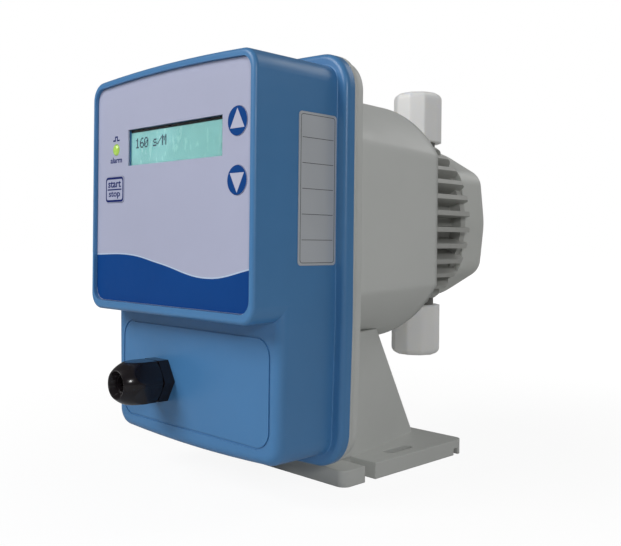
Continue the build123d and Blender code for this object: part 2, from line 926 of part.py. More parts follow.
with BuildPart() as cover_gasket:
    with BuildSketch(across(joint_y + gasket_depth)):
        add(flange_outline(gasket_inset + gasket_gap))
        add(flange_outline(gasket_inset + gasket_width - gasket_gap), mode=Mode.SUBTRACT)
    extrude(amount=gasket_depth)
finish(cover_gasket, "cover_gasket")

with BuildPart() as cover_screws:
    for x, z in cover_post_sites:
        add(
            screw(
                (x, rear_flange_y - cover_screw_sink, z),
                (0, -1, 0),
                cover_screw_r,
                cover_screw_length,
                cover_screw_head_r,
                cover_screw_head_thk,
            )
        )
finish(cover_screws, "cover_screws")

# ================================================================ solenoid
yoke_back_y = boss_inner_y - yoke_back_thk
bush_front_y = boss_inner_y - bush_length
front_plate_y = yoke_front_y + front_plate_thk
bobbin_r = pole_r + bobbin_gap
coil_front_y = front_plate_y + bobbin_wall + bobbin_gap
coil_rear_y = yoke_back_y - bobbin_wall - bobbin_gap
with BuildPart() as solenoid_yoke:
    with BuildSketch(axial_section):
        Polygon(
            (yoke_front_y, yoke_r - yoke_wall),
            (yoke_front_y, yoke_r),
            (boss_inner_y, yoke_r),
            (boss_inner_y, neck_r),
            (boss_inner_y + neck_length, neck_r),
            (boss_inner_y + neck_length, shaft_r + bush_gap),
            (boss_inner_y, shaft_r + bush_gap),
            (boss_inner_y, bush_r),
            (pole_front_y, bush_r),
            (pole_front_y, pole_r),
            (yoke_back_y, pole_r),
            (yoke_back_y, yoke_r - yoke_wall),
        )
    revolve(axis=pump_axis)
finish(solenoid_yoke, "solenoid_yoke")

with BuildPart() as yoke_front_plate:
    with BuildSketch(on_axis(front_plate_y)):
        Circle(yoke_r - yoke_wall - thread_gap)
        Circle(plunger_r + bobbin_gap, mode=Mode.SUBTRACT)
    extrude(amount=front_plate_thk)
finish(yoke_front_plate, "yoke_front_plate")

bobbin_flange_r = yoke_r - yoke_wall - bobbin_gap
with BuildPart() as coil_bobbin:
    with BuildSketch(axial_section):
        Polygon(
            (coil_front_y - bobbin_wall, bobbin_r),
            (coil_front_y - bobbin_wall, bobbin_flange_r),
            (coil_front_y, bobbin_flange_r),
            (coil_front_y, bobbin_r + bobbin_wall),
            (coil_rear_y, bobbin_r + bobbin_wall),
            (coil_rear_y, bobbin_flange_r),
            (coil_rear_y + bobbin_wall, bobbin_flange_r),
            (coil_rear_y + bobbin_wall, bobbin_r),
        )
    revolve(axis=pump_axis)
finish(coil_bobbin, "coil_bobbin")

with BuildPart() as coil_winding:
    with BuildSketch(on_axis(coil_rear_y)):
        Circle(bobbin_flange_r - coil_gap)
        Circle(bobbin_r + bobbin_wall, mode=Mode.SUBTRACT)
    extrude(amount=coil_rear_y - coil_front_y)
finish(coil_winding, "coil_winding")

with BuildPart() as shaft_bush:
    with BuildSketch(on_axis(boss_inner_y)):
        Circle(bush_r)
        Circle(shaft_r + running_gap, mode=Mode.SUBTRACT)
    extrude(amount=bush_length)
finish(shaft_bush, "shaft_bush")

with BuildPart() as plunger:
    with BuildSketch(axial_section):
        Polygon(
            (plunger_front_y, shaft_r),
            (plunger_front_y, plunger_r - plunger_chamfer),
            (plunger_front_y + plunger_chamfer, plunger_r),
            (plunger_rear_y, plunger_r),
            (plunger_rear_y, spring_pocket_r),
            (plunger_rear_y - spring_pocket_depth, spring_pocket_r),
            (plunger_rear_y - spring_pocket_depth, shaft_r),
        )
    revolve(axis=pump_axis)
finish(plunger, "plunger")

core_rear_y = ring_rear_y
core_hub_y = core_rear_y - diaphragm_core_thk - core_hub_length
shaft_rear_y = core_rear_y - diaphragm_core_thk / 2
with BuildPart() as drive_shaft:
    with BuildSketch(on_axis(shaft_rear_y)):
        Circle(shaft_r)
    extrude(amount=shaft_rear_y - plunger_front_y)
    chamfer(drive_shaft.edges().group_by(Axis.Y)[-1], shaft_chamfer)
finish(drive_shaft, "drive_shaft")

spring_front_y = plunger_rear_y - spring_pocket_depth + spring_wire_r + spring_gap
spring_length = bush_front_y - spring_wire_r - spring_gap - spring_front_y
with BuildPart() as return_spring:
    with BuildLine() as coil_path:
        Helix(
            spring_length / spring_turns,
            spring_length,
            spring_mean_r,
            center=(0, spring_front_y, axis_z),
            direction=(0, 1, 0),
        )
    with BuildSketch(Plane(origin=coil_path.line @ 0, z_dir=coil_path.line % 0)):
        RegularPolygon(spring_wire_r, spring_wire_sides)
    sweep(is_frenet=True)
finish(return_spring, "return_spring")

with BuildPart() as solenoid_cap:
    with BuildSketch(on_axis(yoke_front_y)):
        Circle(yoke_r)
        with Locations(*tie_sites):
            Circle(tie_ear_r)
        make_hull()
    extrude(amount=cap_flange_thk)
    with BuildSketch(on_axis(yoke_front_y)):
        Circle(cap_r)
    extrude(amount=cap_length)
    fillet(solenoid_cap.edges().group_by(Axis.Y)[0], cap_round)
    with BuildSketch(on_axis(yoke_front_y)):
        Circle(plunger_r + cap_clearance)
    extrude(amount=cap_length - cap_front_thk, mode=Mode.SUBTRACT)
    with BuildSketch(on_axis(yoke_front_y)):
        with Locations(*tie_sites):
            Circle(tie_r + hole_gap)
    extrude(amount=cap_flange_thk, mode=Mode.SUBTRACT)
finish(solenoid_cap, "solenoid_cap")

with BuildPart() as plunger_bumper:
    with BuildSketch(on_axis(cap_front_y + cap_front_thk)):
        Circle(bumper_r)
    extrude(amount=-(plunger_front_y - cap_front_y - cap_front_thk - bumper_gap))
finish(plunger_bumper, "plunger_bumper")

with BuildPart() as solenoid_screws:
    for x, z in tie_sites:
        add(
            screw(
                (x, yoke_front_y - cap_flange_thk, axis_z + z),
                (0, 1, 0),
                tie_r,
                cap_flange_thk + tie_depth - hole_gap,
                tie_head_r,
                tie_head_thk,
            )
        )
finish(solenoid_screws, "solenoid_screws")

# ================================================================ finned ring and diaphragm
ring_web_y = boss_rear_y + ring_web_thk
cut_r = fin_r + fin_thk  # beyond the fins' ends
with BuildPart() as finned_ring:
    with BuildSketch(on_axis(boss_rear_y)):
        Circle(ring_drum_r)
        with PolarLocations((fin_root_r + fin_r) / 2, fin_count, start_angle=180 / fin_count):
            Rectangle(fin_r - fin_root_r, fin_thk)
        with Locations(*bolt_sites):
            Circle(bolt_boss_r)
    extrude(amount=-ring_length)
    with BuildSketch(on_axis(ring_rear_y)):
        Circle(ring_disc_r)
    extrude(amount=ring_disc_thk)
    # rounded outer rear corners of the fins
    with BuildSketch(axial_section):
        with BuildLine():
            Line((ring_rear_y - fin_round, cut_r), (ring_rear_y - fin_round, fin_r))
            RadiusArc((ring_rear_y - fin_round, fin_r), (ring_rear_y, fin_r - fin_round), fin_round)
            Line((ring_rear_y, fin_r - fin_round), (ring_rear_y, cut_r))
            Line((ring_rear_y, cut_r), (ring_rear_y - fin_round, cut_r))
        make_face()
    revolve(axis=pump_axis, mode=Mode.SUBTRACT)
    # neck seat, shaft hole, bore behind the diaphragm and its rim seat
    with BuildSketch(axial_section):
        Polygon(
            (boss_rear_y, 0),
            (boss_rear_y, neck_r + thread_gap),
            (boss_inner_y + neck_length + thread_gap, neck_r + thread_gap),
            (boss_inner_y + neck_length + thread_gap, shaft_r + bush_gap),
            (ring_web_y, shaft_r + bush_gap),
            (ring_web_y, ring_bore_r),
            (ring_rear_y - diaphragm_thk, ring_bore_r),
            (ring_rear_y - diaphragm_thk, diaphragm_r + thread_gap),
            (ring_rear_y, diaphragm_r + thread_gap),
            (ring_rear_y, 0),
        )
    revolve(axis=pump_axis, mode=Mode.SUBTRACT)
    with BuildSketch(on_axis(boss_rear_y)):
        with Locations(*bolt_sites):
            Circle(bolt_r + hole_gap)
    extrude(amount=-ring_length, mode=Mode.SUBTRACT)
    with BuildSketch(level(axis_z)):
        with Locations((0, (ring_web_y + ring_rear_y) / 2)):
            Circle(weep_hole_r)
    extrude(amount=-fin_r, mode=Mode.SUBTRACT)
finish(finned_ring, "finned_ring")

web_mid_y = ring_rear_y - diaphragm_thk / 2
web_inner_r = diaphragm_core_r + core_gap
web_outer_r = diaphragm_r - diaphragm_rim
web_mid_r = (web_inner_r + web_outer_r) / 2
web_front_y = web_mid_y - diaphragm_web_thk / 2
web_back_y = web_mid_y + diaphragm_web_thk / 2
with BuildPart() as diaphragm:
    with BuildSketch(axial_section):
        with BuildLine():
            Polyline(
                (web_front_y, web_outer_r),
                (ring_rear_y - diaphragm_thk, web_outer_r),
                (ring_rear_y - diaphragm_thk, diaphragm_r),
                (ring_rear_y, diaphragm_r),
                (ring_rear_y, web_outer_r),
                (web_back_y, web_outer_r),
            )
            ThreePointArc(
                (web_back_y, web_outer_r), (web_back_y - web_bulge, web_mid_r), (web_back_y, web_inner_r)
            )
            Line((web_back_y, web_inner_r), (web_front_y, web_inner_r))
            ThreePointArc(
                (web_front_y, web_inner_r), (web_front_y - web_bulge, web_mid_r), (web_front_y, web_outer_r)
            )
        make_face()
    revolve(axis=pump_axis)
finish(diaphragm, "diaphragm")

with BuildPart() as diaphragm_core:
    with BuildSketch(axial_section):
        Polygon(
            (core_hub_y, shaft_r),
            (core_hub_y, core_hub_r),
            (core_rear_y - diaphragm_core_thk, core_hub_r),
            (core_rear_y - diaphragm_core_thk, diaphragm_core_r),
            (core_rear_y, diaphragm_core_r),
            (core_rear_y, 0),
            (shaft_rear_y, 0),
            (shaft_rear_y, shaft_r),
        )
    revolve(axis=pump_axis)
finish(diaphragm_core, "diaphragm_core")

# ================================================================ pump head
with BuildPart() as pump_head:
    with BuildSketch(on_axis(ring_rear_y)):
        Circle(head_r)
        with Locations(*bolt_sites):
            Circle(lobe_r)
        make_hull()
    extrude(amount=-head_length)
    fillet(pump_head.edges().group_by(Axis.Y)[-1], head_round)
    for side in (1, -1):
        with BuildSketch(Plane(origin=(0, valve_y, axis_z), z_dir=(0, 0, side))):
            Circle(valve_boss_r)
        extrude(amount=collar_from)
    with BuildSketch(axial_section):
        Polygon(
            (ring_rear_y, 0),
            (ring_rear_y, chamber_r),
            (ring_rear_y + chamber_depth - chamber_cone, chamber_r - chamber_cone),
            (ring_rear_y + chamber_depth, 0),
        )
    revolve(axis=pump_axis, mode=Mode.SUBTRACT)
    for side in (1, -1):
        with BuildSketch(valve_section(side)):
            Polygon(
                (0, port_at),
                (port_r, port_at),
                (port_r, socket_floor),
                (socket_r, socket_floor),
                (socket_r, collar_from),
                (0, collar_from),
            )
        revolve(axis=valve_axis, mode=Mode.SUBTRACT)
        with BuildSketch(on_axis(ring_rear_y)):
            with Locations((0, side * port_at)):
                Circle(port_r)
        extrude(amount=-(valve_y - ring_rear_y), mode=Mode.SUBTRACT)
    with BuildSketch(on_axis(ring_rear_y)):
        with Locations(*bolt_sites):
            Circle(bolt_r + hole_gap)
    extrude(amount=-head_length, mode=Mode.SUBTRACT)
    with BuildSketch(on_axis(head_rear_y)):
        with Locations(*bolt_sites):
            Circle(bolt_sink_r)
    extrude(amount=bolt_sink_depth, mode=Mode.SUBTRACT)
finish(pump_head, "pump_head")

bolt_seat_y = head_rear_y - bolt_sink_depth
with BuildPart() as head_bolts:
    for x, z in bolt_sites:
        add(
            screw(
                (x, bolt_seat_y, axis_z + z),
                (0, -1, 0),
                bolt_r,
                bolt_seat_y - boss_inner_y + bolt_engage - hole_gap,
                bolt_head_r,
                bolt_head_length,
            )
        )
finish(head_bolts, "head_bolts")

# ================================================================ valves
ball_seat_rise = math.sqrt(ball_r**2 - seat_r**2) + ball_gap
cartridge_from = socket_floor + ring_seal_thk
cartridge_length = cartridge_to - cartridge_from


def valve_body(side):
    """A valve body: threaded stem, collar and the spigot that takes the hose nut."""
    with BuildPart() as piece:
        with BuildSketch(valve_section(side)):
            Polygon(
                (cartridge_r, cartridge_from),
                (socket_r - thread_gap, cartridge_from),
                (socket_r - thread_gap, collar_from),
                (collar_r, collar_from),
                (collar_r, nut_from - thread_gap),
                (spigot_r, nut_from - thread_gap),
                (spigot_r, spigot_to),
                (passage_r, spigot_to),
                (passage_r, cartridge_to),
                (cartridge_r, cartridge_to),
            )
        revolve(axis=valve_axis)
    return piece


def valve_seat(base):
    """A ball seat standing on base, a height above the pump axis."""
    with BuildPart() as piece:
        with BuildSketch(Plane(origin=(0, valve_y, axis_z + base), z_dir=(0, 0, 1))):
            Circle(cartridge_r - thread_gap)
            Circle(seat_r, mode=Mode.SUBTRACT)
        extrude(amount=seat_thk)
    return piece


def ball_cage(base):
    """The cage above a seat: a sleeve with an end wall that stops the ball and lets the flow through."""
    top = base + cartridge_length - seat_thk
    with BuildPart() as piece:
        with BuildSketch(valve_section(1)):
            Polygon(
                (cage_r, base),
                (cartridge_r - thread_gap, base),
                (cartridge_r - thread_gap, top),
                (passage_r, top),
                (passage_r, top - cage_end_thk),
                (cage_r, top - cage_end_thk),
            )
        revolve(axis=valve_axis)
    return piece


def valve_ball(base):
    """The ball, just above the edge of the seat whose upper face lies at base."""
    centre_z = axis_z + base + ball_seat_rise
    with BuildPart() as piece:
        with BuildSketch(Plane(origin=(0, valve_y, centre_z), x_dir=(1, 0, 0), z_dir=(0, -1, 0))):
            Circle(ball_r)
            split(bisect_by=Plane.YZ)
        revolve(axis=valve_axis)
    return piece


def seal_ring(side):
    """The O-ring between a socket's floor and the valve body."""
    with BuildPart() as piece:
        with BuildSketch(valve_section(side)):
            with Locations((ring_seal_mean_r, socket_floor + ring_seal_thk / 2)):
                Circle(ring_seal_thk / 2 - ring_seal_gap)
        revolve(axis=valve_axis)
    return piece


def hose_nipple(side):
    """The nipple that the hose slides over, standing on the spigot's end."""
    with BuildPart() as piece:
        with BuildSketch(valve_section(side)):
            Polygon(
                (passage_r, spigot_to),
                (nipple_foot_r, spigot_to),
                (nipple_foot_r, spigot_to + nipple_foot_thk),
                (nipple_r, spigot_to + nipple_foot_thk),
                (nipple_r, nipple_to - nipple_nose),
                (nipple_r - nipple_nose / 2, nipple_to),
                (passage_r, nipple_to),
            )
        revolve(axis=valve_axis)
    return piece


def clamp_ring(side):
    """The ring that the hose nut presses on the hose."""
    ring_from = spigot_to + nipple_foot_thk
    with BuildPart() as piece:
        with BuildSketch(valve_section(side)):
            Polygon(
                (tube_hole_r - thread_gap, ring_from),
                (clamp_ring_r, ring_from),
                (clamp_ring_r, ring_from + clamp_ring_thk / 2),
                (tube_hole_r + thread_gap, ring_from + clamp_ring_thk),
                (tube_hole_r - thread_gap, ring_from + clamp_ring_thk),
            )
        revolve(axis=valve_axis)
    return piece


def hose_nut(side):
    """The faceted hose nut with its rounded end."""
    ring_from = spigot_to + nipple_foot_thk
    with BuildPart() as piece:
        with BuildSketch(
            Plane(origin=(0, valve_y, axis_z + side * nut_from), x_dir=(1, 0, 0), z_dir=(0, 0, side))
        ):
            RegularPolygon(nut_r, nut_sides)
        extrude(amount=nut_to - nut_from)
        fillet(piece.edges().filter_by(Axis.Z), nut_edge_round)
        far_end = piece.edges().group_by(Axis.Z)[-1 if side > 0 else 0]
        fillet(far_end, nut_round)
        with BuildSketch(valve_section(side)):
            Polygon(
                (0, nut_from),
                (spigot_r + thread_gap, nut_from),
                (spigot_r + thread_gap, ring_from),
                (clamp_ring_r + thread_gap, ring_from),
                (clamp_ring_r + thread_gap, ring_from + clamp_ring_thk / 2 + thread_gap),
                (tube_hole_r + hole_gap, ring_from + clamp_ring_thk + hole_gap),
                (tube_hole_r + hole_gap, nipple_to + hole_gap),
                (tube_hole_r, nipple_to + 2 * hole_gap),
                (tube_hole_r, nut_to),
                (0, nut_to),
            )
        revolve(axis=valve_axis, mode=Mode.SUBTRACT)
    return piece


# both seats stand below their balls: the flow runs upwards through both valves
suction_seat_base = -cartridge_to
discharge_seat_base = cartridge_from
for valve_name, side, seat_base in (
    ("suction", -1, suction_seat_base),
    ("discharge", 1, discharge_seat_base),
):
    finish(valve_body(side), f"{valve_name}_valve_body")
    finish(valve_seat(seat_base), f"{valve_name}_seat")
    finish(ball_cage(seat_base + seat_thk), f"{valve_name}_ball_cage")
    finish(valve_ball(seat_base + seat_thk), f"{valve_name}_ball")
    finish(seal_ring(side), f"{valve_name}_seal_ring")
    finish(hose_nipple(side), f"{valve_name}_nipple")
    finish(clamp_ring(side), f"{valve_name}_clamp_ring")
    finish(hose_nut(side), f"{valve_name}_hose_nut")


# ================================================================ mounting foot
def pillar_outline(z, inset, low):
    """A level section of the foot's pillar, moved inwards by inset: its foot if low, else its head."""
    if low:
        corners = (
            (pillar_half_front, pillar_front_y),
            (pillar_half_knee, pillar_knee_y),
            (pillar_half_rear, pillar_rear_y),
        )
    else:
        corners = (
            (pillar_top_half, pillar_front_y),
            (pillar_top_half, pillar_knee_y),
            (pillar_top_rear_half, pillar_top_rear_y),
        )
    mirrored = [(-x, y) for x, y in reversed(corners)]
    with BuildSketch(level(z)) as section:
        Polygon(*corners, *mirrored)
        fillet(section.vertices(), pillar_corner)
        if inset:
            offset(amount=-inset, mode=Mode.REPLACE)
    return section.sketch


with BuildPart() as mounting_foot:
    with BuildSketch(level(0)):
        with Locations((0, (foot_front_y + foot_rear_y) / 2)):
            RectangleRounded(2 * foot_half, foot_rear_y - foot_front_y, foot_corner)
        with Locations(
            (foot_half - notch_reach / 2, (notch_y[0] + notch_y[1]) / 2),
            (-foot_half + notch_reach / 2, (notch_y[0] + notch_y[1]) / 2),
        ):
            Rectangle(notch_reach, notch_y[1] - notch_y[0], mode=Mode.SUBTRACT)
        with Locations((slot_x, 0), (-slot_x, 0)):
            SlotOverall(slot_length, slot_width, rotation=90, mode=Mode.SUBTRACT)
    extrude(amount=foot_thk)
    loft([pillar_outline(foot_thk, 0, True), pillar_outline(pillar_top_z, 0, False)], ruled=True)
    add(round_body(saddle_gap, boss_rear_y), mode=Mode.SUBTRACT)
    loft(
        [pillar_outline(0, pillar_wall, True), pillar_outline(foot_screw_seat_z, pillar_wall, False)],
        ruled=True,
        mode=Mode.SUBTRACT,
    )
    # cross rib over the middle of the slots
    with BuildSketch(level(0)):
        Rectangle(2 * pillar_half_rear, rib_thk)
    extrude(amount=foot_screw_seat_z)
    with BuildSketch(level(foot_screw_seat_z)):
        with Locations(*foot_screw_sites):
            Circle(foot_screw_r + hole_gap)
    extrude(amount=pillar_top_z - foot_screw_seat_z, mode=Mode.SUBTRACT)
    with BuildSketch(level(0)):
        with Locations(
            (foot_half - groove_reach / 2, groove_y),
            (-foot_half + groove_reach / 2, groove_y),
        ):
            Rectangle(groove_reach, groove_width)
    extrude(amount=groove_depth, mode=Mode.SUBTRACT)
finish(mounting_foot, "mounting_foot")

with BuildPart() as foot_screws:
    for x, y in foot_screw_sites:
        add(
            screw(
                (x, y, foot_screw_seat_z),
                (0, 0, 1),
                foot_screw_r,
                saddle_thk + foot_screw_depth - hole_gap,
                foot_screw_head_r,
                foot_screw_head_thk,
            )
        )
finish(foot_screws, "foot_screws")
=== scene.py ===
"""Looks of a solenoid-driven diaphragm metering pump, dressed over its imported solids.

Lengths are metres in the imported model's frame: +Z up, -Y towards the display, +X to the right of
someone who reads the display.
"""

import json
import logging
import math
from collections.abc import Sequence
from dataclasses import dataclass, replace
from enum import Enum

import bmesh
import bpy
from mathutils import Matrix, Vector


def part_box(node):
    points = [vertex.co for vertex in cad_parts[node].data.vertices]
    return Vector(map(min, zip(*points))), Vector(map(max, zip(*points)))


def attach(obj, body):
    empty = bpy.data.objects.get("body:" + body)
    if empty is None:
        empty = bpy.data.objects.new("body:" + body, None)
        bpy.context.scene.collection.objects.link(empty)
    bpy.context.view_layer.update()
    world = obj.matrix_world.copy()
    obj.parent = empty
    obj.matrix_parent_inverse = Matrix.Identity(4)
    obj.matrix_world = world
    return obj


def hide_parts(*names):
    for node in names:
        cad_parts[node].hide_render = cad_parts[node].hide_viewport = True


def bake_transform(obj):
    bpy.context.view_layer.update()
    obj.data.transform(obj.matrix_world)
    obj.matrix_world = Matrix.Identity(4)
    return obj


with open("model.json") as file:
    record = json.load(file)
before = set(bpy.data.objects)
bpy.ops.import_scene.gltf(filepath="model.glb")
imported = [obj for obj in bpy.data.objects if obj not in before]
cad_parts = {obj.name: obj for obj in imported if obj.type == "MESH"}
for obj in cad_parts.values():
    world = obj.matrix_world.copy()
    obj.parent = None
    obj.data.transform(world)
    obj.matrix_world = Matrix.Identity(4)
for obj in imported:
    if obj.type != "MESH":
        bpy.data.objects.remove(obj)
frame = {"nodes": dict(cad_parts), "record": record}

LOG = logging.getLogger("metering_pump")
MM = 0.001
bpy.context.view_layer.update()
PRINT_THICKNESS = 0.03 * MM
SMOOTH_ANGLE = math.radians(32)
STROKE_SWELL, LETTER_STEPS, CURVE_STEPS = 0.022, 3, 10
QUARTER = (0, 30, 60, 90)
FRONT, REAR = Vector((0, -1, 0)), Vector((0, 1, 0))
UP, DOWN = Vector((0, 0, 1)), Vector((0, 0, -1))
WHITE, DUST_COLOUR = "FFFFFF", "B9B4A8"
COAT_ROUGHNESS = 0.08
NOISE_SPAN = (0.3, 0.7)
THREAD_DEPTH = 0.4
MILK_RADIUS, MILK_DEPTH = (1.0, 0.95, 0.85), 3 * MM

Point = tuple[float, float]
Triple = tuple[float, float, float]
Socket = bpy.types.NodeSocket
Node = bpy.types.Node
Mesh = bpy.types.Mesh
Object = bpy.types.Object
Material = bpy.types.Material


def linear(code: str) -> tuple[float, ...]:
    """Turn a colour written as six hexadecimal digits into the renderer's linear values.

    Args:
        code: red, green and blue, two digits each.

    Returns:
        Linear red, green and blue, and a full alpha.
    """
    shares = [int(code[i : i + 2], 16) / 255 for i in (0, 2, 4)]
    lit = [s / 12.92 if s <= 0.04045 else ((s + 0.055) / 1.055) ** 2.4 for s in shares]
    return (lit[0], lit[1], lit[2], 1.0)


class Graph:
    """Adds nodes to one node tree and joins their sockets."""

    def __init__(self, tree: bpy.types.NodeTree) -> None:
        """Keep the tree that the nodes go into."""
        self.tree = tree

    def add(self, kind: str, inputs: dict | None = None, **settings: object) -> Node:
        """Add a node, set its options, and fill or link its inputs.

        Args:
            kind: the node's type name.
            inputs: values or sockets, by the input's name or number.
            settings: properties of the node itself.

        Returns:
            The new node.
        """
        node = self.tree.nodes.new(kind)
        for name, value in settings.items():
            setattr(node, name, value)
        for key, value in (inputs or {}).items():
            if isinstance(value, Socket):
                self.tree.links.new(value, node.inputs[key])
            else:
                node.inputs[key].default_value = value
        return node

    def maths(self, operation: str, *values: float | Socket) -> Socket:
        """Add a Math node over values or sockets and return its result."""
        return self.add("ShaderNodeMath", dict(enumerate(values)), operation=operation).outputs[0]

    def vectors(self, operation: str, *values: Socket) -> Node:
        """Add a Vector Math node over sockets and return it."""
        return self.add("ShaderNodeVectorMath", dict(enumerate(values)), operation=operation)

    def span(self, value: Socket, low: float, high: float, to_low: float, to_high: float) -> Socket:
        """Map a value from one span to another, held within it, and return the result."""
        inputs = {"Value": value, "From Min": low, "From Max": high, "To Min": to_low, "To Max": to_high}
        return self.add("ShaderNodeMapRange", inputs).outputs["Result"]

    def noise(
        self, vector: Socket, scale: float | Socket, detail: float = 2.0, rough: float = 0.5
    ) -> Socket:
        """Add a noise texture and return its value."""
        inputs = {"Vector": vector, "Scale": scale, "Detail": detail, "Roughness": rough}
        return self.add("ShaderNodeTexNoise", inputs).outputs[0]

    def swing(self, noise: Socket, amount: Socket, middle: float | Socket) -> Socket:
        """Let a noise move a value by an amount to both sides of its middle."""
        return self.maths("MULTIPLY_ADD", self.span(noise, *NOISE_SPAN, -1.0, 1.0), amount, middle)

    def mix(self, share: float | Socket, first: object, second: object) -> Socket:
        """Mix two colours by a share and return the result."""
        return self.add("ShaderNodeMix", {0: share, 6: first, 7: second}, data_type="RGBA").outputs[2]

    def blend(self, share: Socket, first: Node, second: Node) -> Socket:
        """Mix two shaders by a share and return the result."""
        inputs = {0: share, 1: first.outputs[0], 2: second.outputs[0]}
        return self.add("ShaderNodeMixShader", inputs).outputs[0]


def cleared(owner: Material | bpy.types.World) -> Graph:
    """Turn on a material's or a world's nodes and empty them.

    Args:
        owner: the material or the world.

    Returns:
        The empty graph.
    """
    owner.use_nodes = True
    owner.node_tree.nodes.clear()
    return Graph(owner.node_tree)


class EffectGroup(Graph):
    """One shader node group with named inputs and one named output."""

    KINDS = {"Vector": "Vector", "Normal": "Vector", "Colour": "Color"}

    def __init__(self, name: str, output: str, *inputs: str) -> None:
        """Make the empty group.

        Args:
            name: the group's name.
            output: the output's name.
            inputs: the inputs' names. A socket that KINDS doesn't name holds a number.
        """
        super().__init__(bpy.data.node_groups.new(name, "ShaderNodeTree"))
        for label, way in [*((label, "INPUT") for label in inputs), (output, "OUTPUT")]:
            kind = "NodeSocket" + self.KINDS.get(label, "Float")
            self.tree.interface.new_socket(label, in_out=way, socket_type=kind)
        self.given = self.tree.nodes.new("NodeGroupInput").outputs

    def bump(self, height: Socket) -> Socket:
        """Raise a surface by a height and the group's depth, and return its normal."""
        return self.add("ShaderNodeBump", {"Height": height, "Distance": self.given["Depth"]}).outputs[0]

    def close(self, value: Socket) -> "EffectGroup":
        """Link the group's result and return the group."""
        self.tree.links.new(value, self.tree.nodes.new("NodeGroupOutput").inputs[0])
        return self

    def place(self, graph: Graph, **inputs: object) -> Socket:
        """Put the group into a material with its own values and return its output there."""
        return graph.add("ShaderNodeGroup", inputs, node_tree=self.tree).outputs[0]


class Effects:
    """The surface effects that the finishes share."""

    def __init__(self) -> None:
        """Build each group once."""
        self.drift = self._drift()
        self.grain = self._grain()
        self.rub_and_highlight = self._rub_and_highlight()
        self.dust = self._dust()
        self.scuff = self._scuff()
        self.rings = self._rings()
        self.rounded = self._rounded()

    @staticmethod
    def _drift() -> EffectGroup:
        """Slow uneven tone, as pigment has in a moulding.

        Returns:
            The group.
        """
        group = EffectGroup("tone_drift", "Colour", "Vector", "Colour", "Size", "Amount")
        given = group.given
        noise = group.noise(given["Vector"], group.maths("DIVIDE", 1.0, given["Size"]), 4.0)
        value = group.swing(noise, given["Amount"], 1.0)
        shade = group.add("ShaderNodeHueSaturation", {"Value": value, "Color": given["Colour"]})
        return group.close(shade.outputs[0])

    @staticmethod
    def _grain() -> EffectGroup:
        """The fine texture of a mould's wall, as a normal.

        Returns:
            The group.
        """
        group = EffectGroup("moulded_grain", "Normal", "Vector", "Size", "Depth")
        vector = group.given["Vector"]
        scale = group.maths("DIVIDE", 1.0, group.given["Size"])
        cells = group.add("ShaderNodeTexVoronoi", {"Vector": vector, "Scale": scale})
        height = group.maths("MULTIPLY_ADD", cells.outputs[0], 0.5, group.noise(vector, scale))
        return group.close(group.bump(height))

    @staticmethod
    def _rub_and_highlight() -> EffectGroup:
        """Where edges are rubbed, together with a painted highlight along every edge, as one mask.

        Returns:
            The group.
        """
        group = EffectGroup("edge_rub_and_highlight", "Mask", "Vector", "Radius", "Amount")
        soft = group.add("ShaderNodeBevel", {"Radius": group.given["Radius"]}, samples=6)
        plain = group.add("ShaderNodeNewGeometry").outputs["Normal"]
        dot = group.vectors("DOT_PRODUCT", soft.outputs[0], plain).outputs["Value"]
        broken = group.span(group.noise(group.given["Vector"], 260.0, 3.0), 0.42, 0.66, 0.25, 1.0)
        edge = group.maths("MULTIPLY", group.span(dot, 0.995, 0.82, 0.0, 1.0), broken)
        return group.close(group.maths("MULTIPLY", edge, group.given["Amount"]))

    @staticmethod
    def _dust() -> EffectGroup:
        """Dust that lies on what faces up, as a mask.

        Returns:
            The group.
        """
        group = EffectGroup("settled_dust", "Mask", "Vector", "Amount")
        plain = group.add("ShaderNodeNewGeometry").outputs["Normal"]
        up = group.add("ShaderNodeSeparateXYZ", {"Vector": plain}).outputs["Z"]
        patches = group.span(group.noise(group.given["Vector"], 150.0, 6.0), 0.35, 0.75, 0.2, 1.0)
        lying = group.maths("MULTIPLY", group.span(up, 0.35, 1.0, 0.0, 1.0), patches)
        return group.close(group.maths("MULTIPLY", lying, group.given["Amount"]))

    @staticmethod
    def _scuff() -> EffectGroup:
        """Handling marks, as a roughness.

        Returns:
            The group.
        """
        group = EffectGroup("scuffs", "Roughness", "Vector", "Roughness", "Spread")
        given = group.given
        slant = {"Vector": given["Vector"], "Rotation": (0.4, 0.3, 0.5), "Scale": (1.0, 0.18, 0.4)}
        noise = group.noise(group.add("ShaderNodeMapping", slant).outputs[0], 420.0, 5.0, 0.6)
        return group.close(group.swing(noise, given["Spread"], given["Roughness"]))

    @staticmethod
    def _rings() -> EffectGroup:
        """Fine turning rings about the pump axis direction, as a normal.

        Returns:
            The group.
        """
        group = EffectGroup("turning_rings", "Normal", "Vector", "Pitch", "Depth")
        stretch = {"Vector": group.given["Vector"], "Scale": (0.02, 1.0, 0.02)}
        scale = group.maths("DIVIDE", 1.0, group.given["Pitch"])
        noise = group.noise(group.add("ShaderNodeMapping", stretch).outputs[0], scale)
        return group.close(group.bump(noise))

    @staticmethod
    def _rounded() -> EffectGroup:
        """Softly rounded edges under a surface's own relief, as a normal.

        Returns:
            The group.
        """
        group = EffectGroup("rounded_edges", "Normal", "Normal", "Radius")
        soft = group.add("ShaderNodeBevel", {"Radius": group.given["Radius"]}, samples=8)
        plain = group.add("ShaderNodeNewGeometry").outputs["Normal"]
        relief = group.vectors("SUBTRACT", group.given["Normal"], plain)
        joined = group.vectors("ADD", soft.outputs[0], relief.outputs[0])
        return group.close(group.vectors("NORMALIZE", joined.outputs[0]).outputs[0])


